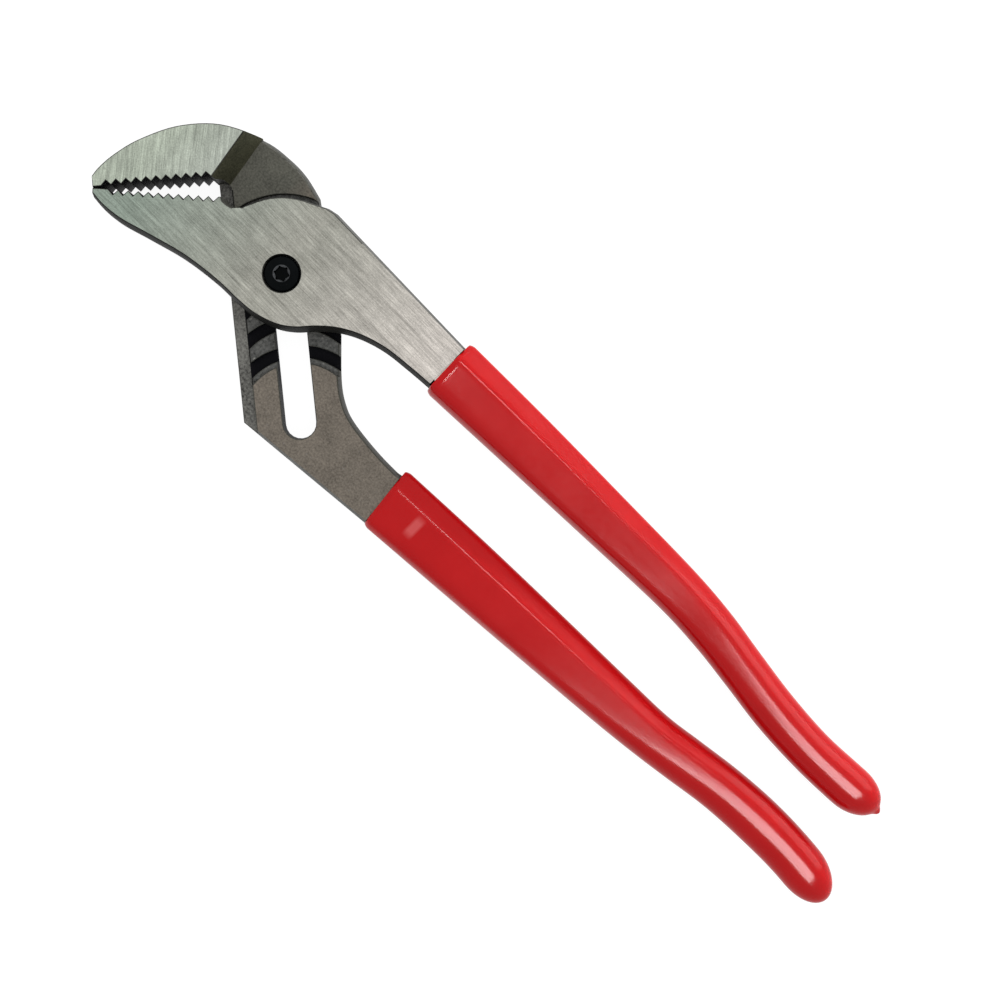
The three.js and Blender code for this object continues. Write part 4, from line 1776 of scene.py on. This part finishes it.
@dataclass(frozen=True)
class StudioFinish:
    """Light levels, lamps and the camera's place; sizes in metres."""

    ambient: float = 0.96
    ambient_shade: float = 0.42
    ambient_span: Pair = (-0.9, 0.3)
    floor_size: float = 4.0
    floor_drop: float = 0.0001
    floor_colour: Colour = opaque(0.8, 0.8, 0.8)
    floor_seen: Colour = opaque(0.2, 0.2, 0.2)
    floor_glow: float = 0.93
    camera_height: float = 0.48
    camera_near: float = 0.01
    camera_turn: float = 45.0
    camera_from_pivot: Pair = (0.07697, -0.00138)
    lens: float = 68.73
    sensor: float = 36.0
    window: Lamp = Lamp("low_window", (0.0, 0.9, 0.09), (0.0, 0.0, 0.01), (0.9, 0.11), 4.4)
    cards: tuple[Lamp, ...] = (
        Lamp("crest_card", (0.43, -0.05, 0.8), (0.43, -0.05, 0.0), (0.42, 0.58), 24.0),
        Lamp("veil_card", (0.35, 0.75, 0.35), (0.05, 0.0, 0.0), (0.5, 0.5), 3.0),
        Lamp("ridge_card", (-0.1, 0.42, 0.7), (-0.1, 0.0, 0.0), (0.42, 0.1), 3.0),
    )
    mouth_card: Lamp = Lamp(
        "mouth_card", (-0.064, 0.03, 0.8), (-0.064, 0.03, 0.0), (0.03, 0.04), 0.4
    )


@dataclass
class Studio:
    """Pale floor, soft light and the camera."""

    pivot: Vector
    grips: Sequence[Piece]
    finish: StudioFinish = StudioFinish()

    def build(self) -> None:
        """Make the world, the floor, the camera and the lamps."""
        self._world()
        self._floor()
        self._camera()
        self.finish.window.make().visible_glossy = False
        for card in self.finish.cards:
            self._show_on(card.make(), self.grips)
        front = [grip for grip in self.grips if grip.body == "front"]
        self._show_on(self.finish.mouth_card.make(), front)

    def dress(self) -> None:
        """Set the plain view transform."""
        bpy.context.scene.view_settings.view_transform = "Standard"

    @staticmethod
    def _show_on(card: bpy.types.Object, pieces: Sequence[Piece]) -> None:
        """Let a card's highlight fall on some pieces alone.

        Args:
            card: the lamp.
            pieces: what it shows on.
        """
        card.visible_diffuse = False
        receivers = bpy.data.collections.new(f"{card.name}_receivers")
        for piece in pieces:
            receivers.objects.link(piece.shown)
        card.light_linking.receiver_collection = receivers

    @staticmethod
    def _seen(canvas: NodeCanvas) -> Socket:
        """Return 1 for rays that show the background.

        Args:
            canvas: the tree to add to.

        Returns:
            The share of such rays.
        """
        path = canvas.add("ShaderNodeLightPath").outputs
        total = canvas.math("MAXIMUM", path["Is Camera Ray"], path["Is Glossy Ray"])
        return canvas.math("MAXIMUM", total, path["Is Transmission Ray"])

    def _world(self) -> None:
        """Make a white surround that lights the tool softly."""
        world = bpy.data.worlds.new("surround")
        bpy.context.scene.world = world
        canvas = fresh_canvas(world)
        across = canvas.split(canvas.add("ShaderNodeTexCoord").outputs["Generated"])[1]
        level = self.finish.ambient
        low = self.finish.ambient_shade * level
        soft = canvas.spread(across, *self.finish.ambient_span, low, level)
        feeds = {"Factor": self._seen(canvas), 2: soft, 3: 1.0}
        strength = canvas.add("ShaderNodeMix", feeds, data_type="FLOAT").outputs[0]
        light = canvas.add("ShaderNodeBackground", {"Color": WHITE, "Strength": strength})
        canvas.add("ShaderNodeOutputWorld", {"Surface": light.outputs[0]})

    def _floor(self) -> None:
        """Make the floor, white to the camera but for the tool's faint shadow."""
        form = bmesh.new()
        bmesh.ops.create_grid(form, x_segments=1, y_segments=1, size=self.finish.floor_size)
        mesh = mesh_from("floor", form)
        floor = placed("floor", mesh)
        floor.location.z = -self.finish.floor_drop
        material = bpy.data.materials.new("pale_floor")
        canvas = fresh_canvas(material)
        plain = canvas.add("ShaderNodeBsdfDiffuse", {"Color": self.finish.floor_colour})
        faint = canvas.add("ShaderNodeBsdfDiffuse", {"Color": self.finish.floor_seen})
        glow = canvas.add("ShaderNodeEmission", {"Strength": self.finish.floor_glow})
        both = canvas.add("ShaderNodeAddShader", {0: faint.outputs[0], 1: glow.outputs[0]})
        feeds = {"Fac": self._seen(canvas), 1: plain.outputs[0], 2: both.outputs[0]}
        mixed = canvas.add("ShaderNodeMixShader", feeds)
        canvas.add("ShaderNodeOutputMaterial", {"Surface": mixed.outputs[0]})
        mesh.materials.append(material)

    def _camera(self) -> None:
        """Put the camera over the tool, turned as in the photograph."""
        data = bpy.data.cameras.new("camera")
        data.lens = self.finish.lens
        data.sensor_width = self.finish.sensor
        data.clip_start = self.finish.camera_near
        camera = placed("camera", data)
        along, across = self.finish.camera_from_pivot
        place = (self.pivot.x + along, self.pivot.y + across, self.finish.camera_height)
        camera.location = place
        camera.rotation_euler = (0.0, 0.0, math.radians(self.finish.camera_turn))
        bpy.context.scene.camera = camera


@dataclass
class Pliers:
    """The whole tool: two levers, two grips, the screw and the nut."""

    frame: dict[str, Any]
    effects: EffectLibrary = field(default_factory=EffectLibrary)
    pivot: Vector = field(init=False)
    pieces: list[Piece] = field(init=False)

    def __post_init__(self) -> None:
        """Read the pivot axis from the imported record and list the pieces."""
        hinge = next(j for j in self.frame["joints"] if j["name"] == "handle_hinge")
        self.pivot = Vector(hinge["pos_m"])
        self.pieces = [*self._levers(), *self._grips(), *self._fasteners()]

    def build(self) -> None:
        """Build and dress every piece."""
        for piece in self.pieces:
            piece.build()
            piece.dress()

    def grips(self) -> list[Piece]:
        """Return the two grips."""
        return [piece for piece in self.pieces if isinstance(piece, Grip)]

    def _levers(self) -> list[Piece]:
        """Return the two levers with their finishes.

        Returns:
            The rear and the front lever.
        """
        steel = self._steel()
        levers = []
        for body, slot, grip, kind, top in (
            ("rear", "forged_steel", REAR_GRIP, FaceKind.JAW_TOP, JAW_FACE),
            ("front", "brushed_steel", FRONT_GRIP, FaceKind.GROUND, FRONT_FACE),
        ):
            node = f"{body}_lever"
            lever = Lever(
                f"{body}_forging",
                node,
                body,
                slot,
                self.pivot,
                source=self.frame["nodes"][node],
                is_rear=body == "rear",
                grip=grip,
                finishes={kind: top.make(self.effects), **steel},
            )
            levers.append(lever)
        return levers

    def _grips(self) -> list[Piece]:
        """Return the two grips, which share one rule and one finish.

        Returns:
            The rear and the front grip.
        """
        vinyl = RED_VINYL.make(self.effects)
        tree = GripTree()
        return [
            Grip(f"{body}_sleeve", f"{body}_grip", body, "red_vinyl", self.pivot, sizes, tree, vinyl)
            for body, sizes in (("rear", REAR_GRIP), ("front", FRONT_GRIP))
        ]

    def _fasteners(self) -> list[Piece]:
        """Return the screw and the nut.

        Returns:
            The two pieces.
        """
        slot = "black_oxide"
        oxide = OXIDE_FINISH.make(self.effects)
        worn = WORN_STEEL.make(self.effects)
        return [
            PivotScrew("button_screw", "pivot_screw", "screw", slot, self.pivot, (oxide, worn)),
            PivotNut("barrel_nut", "pivot_nut", "nut", slot, self.pivot, (oxide,)),
        ]

    def _steel(self) -> dict[FaceKind, bpy.types.Material]:
        """Make the finishes that both levers share.

        Returns:
            One material for each kind of face.
        """
        finishes = {
            FaceKind.PLATE: PLATE_FACE,
            FaceKind.RIB: RIB_FACE,
            FaceKind.RAMP: RAMP_FACE,
            FaceKind.BACK: BACK_FACE,
            FaceKind.LEDGE: LEDGE_FACE,
            FaceKind.FLANK: FLANK_FACE,
            FaceKind.SCALE: SHADED_FLANK_FACE,
            FaceKind.GROOVE: GROOVE_SHADE_FACE,
        }
        steel = {kind: finish.make(self.effects) for kind, finish in finishes.items()}
        # The teeth take the groove's painted shade
        return {**steel, FaceKind.TEETH: steel[FaceKind.GROOVE]}


def main() -> None:
    """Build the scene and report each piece."""
    logging.basicConfig(level=logging.INFO, format="%(name)s: %(message)s")
    for leftover in list(bpy.data.objects):
        bpy.data.objects.remove(leftover)
    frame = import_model()
    pliers = Pliers(frame)
    pliers.build()
    for piece in pliers.pieces:
        faces = len(piece.shown.data.polygons)
        LOG.info("%s stands for %s on %s: %d faces", piece.name, piece.node, piece.body, faces)
    studio = Studio(pliers.pivot, pliers.grips())
    studio.build()
    studio.dress()


if __name__ == "__main__":
    main()
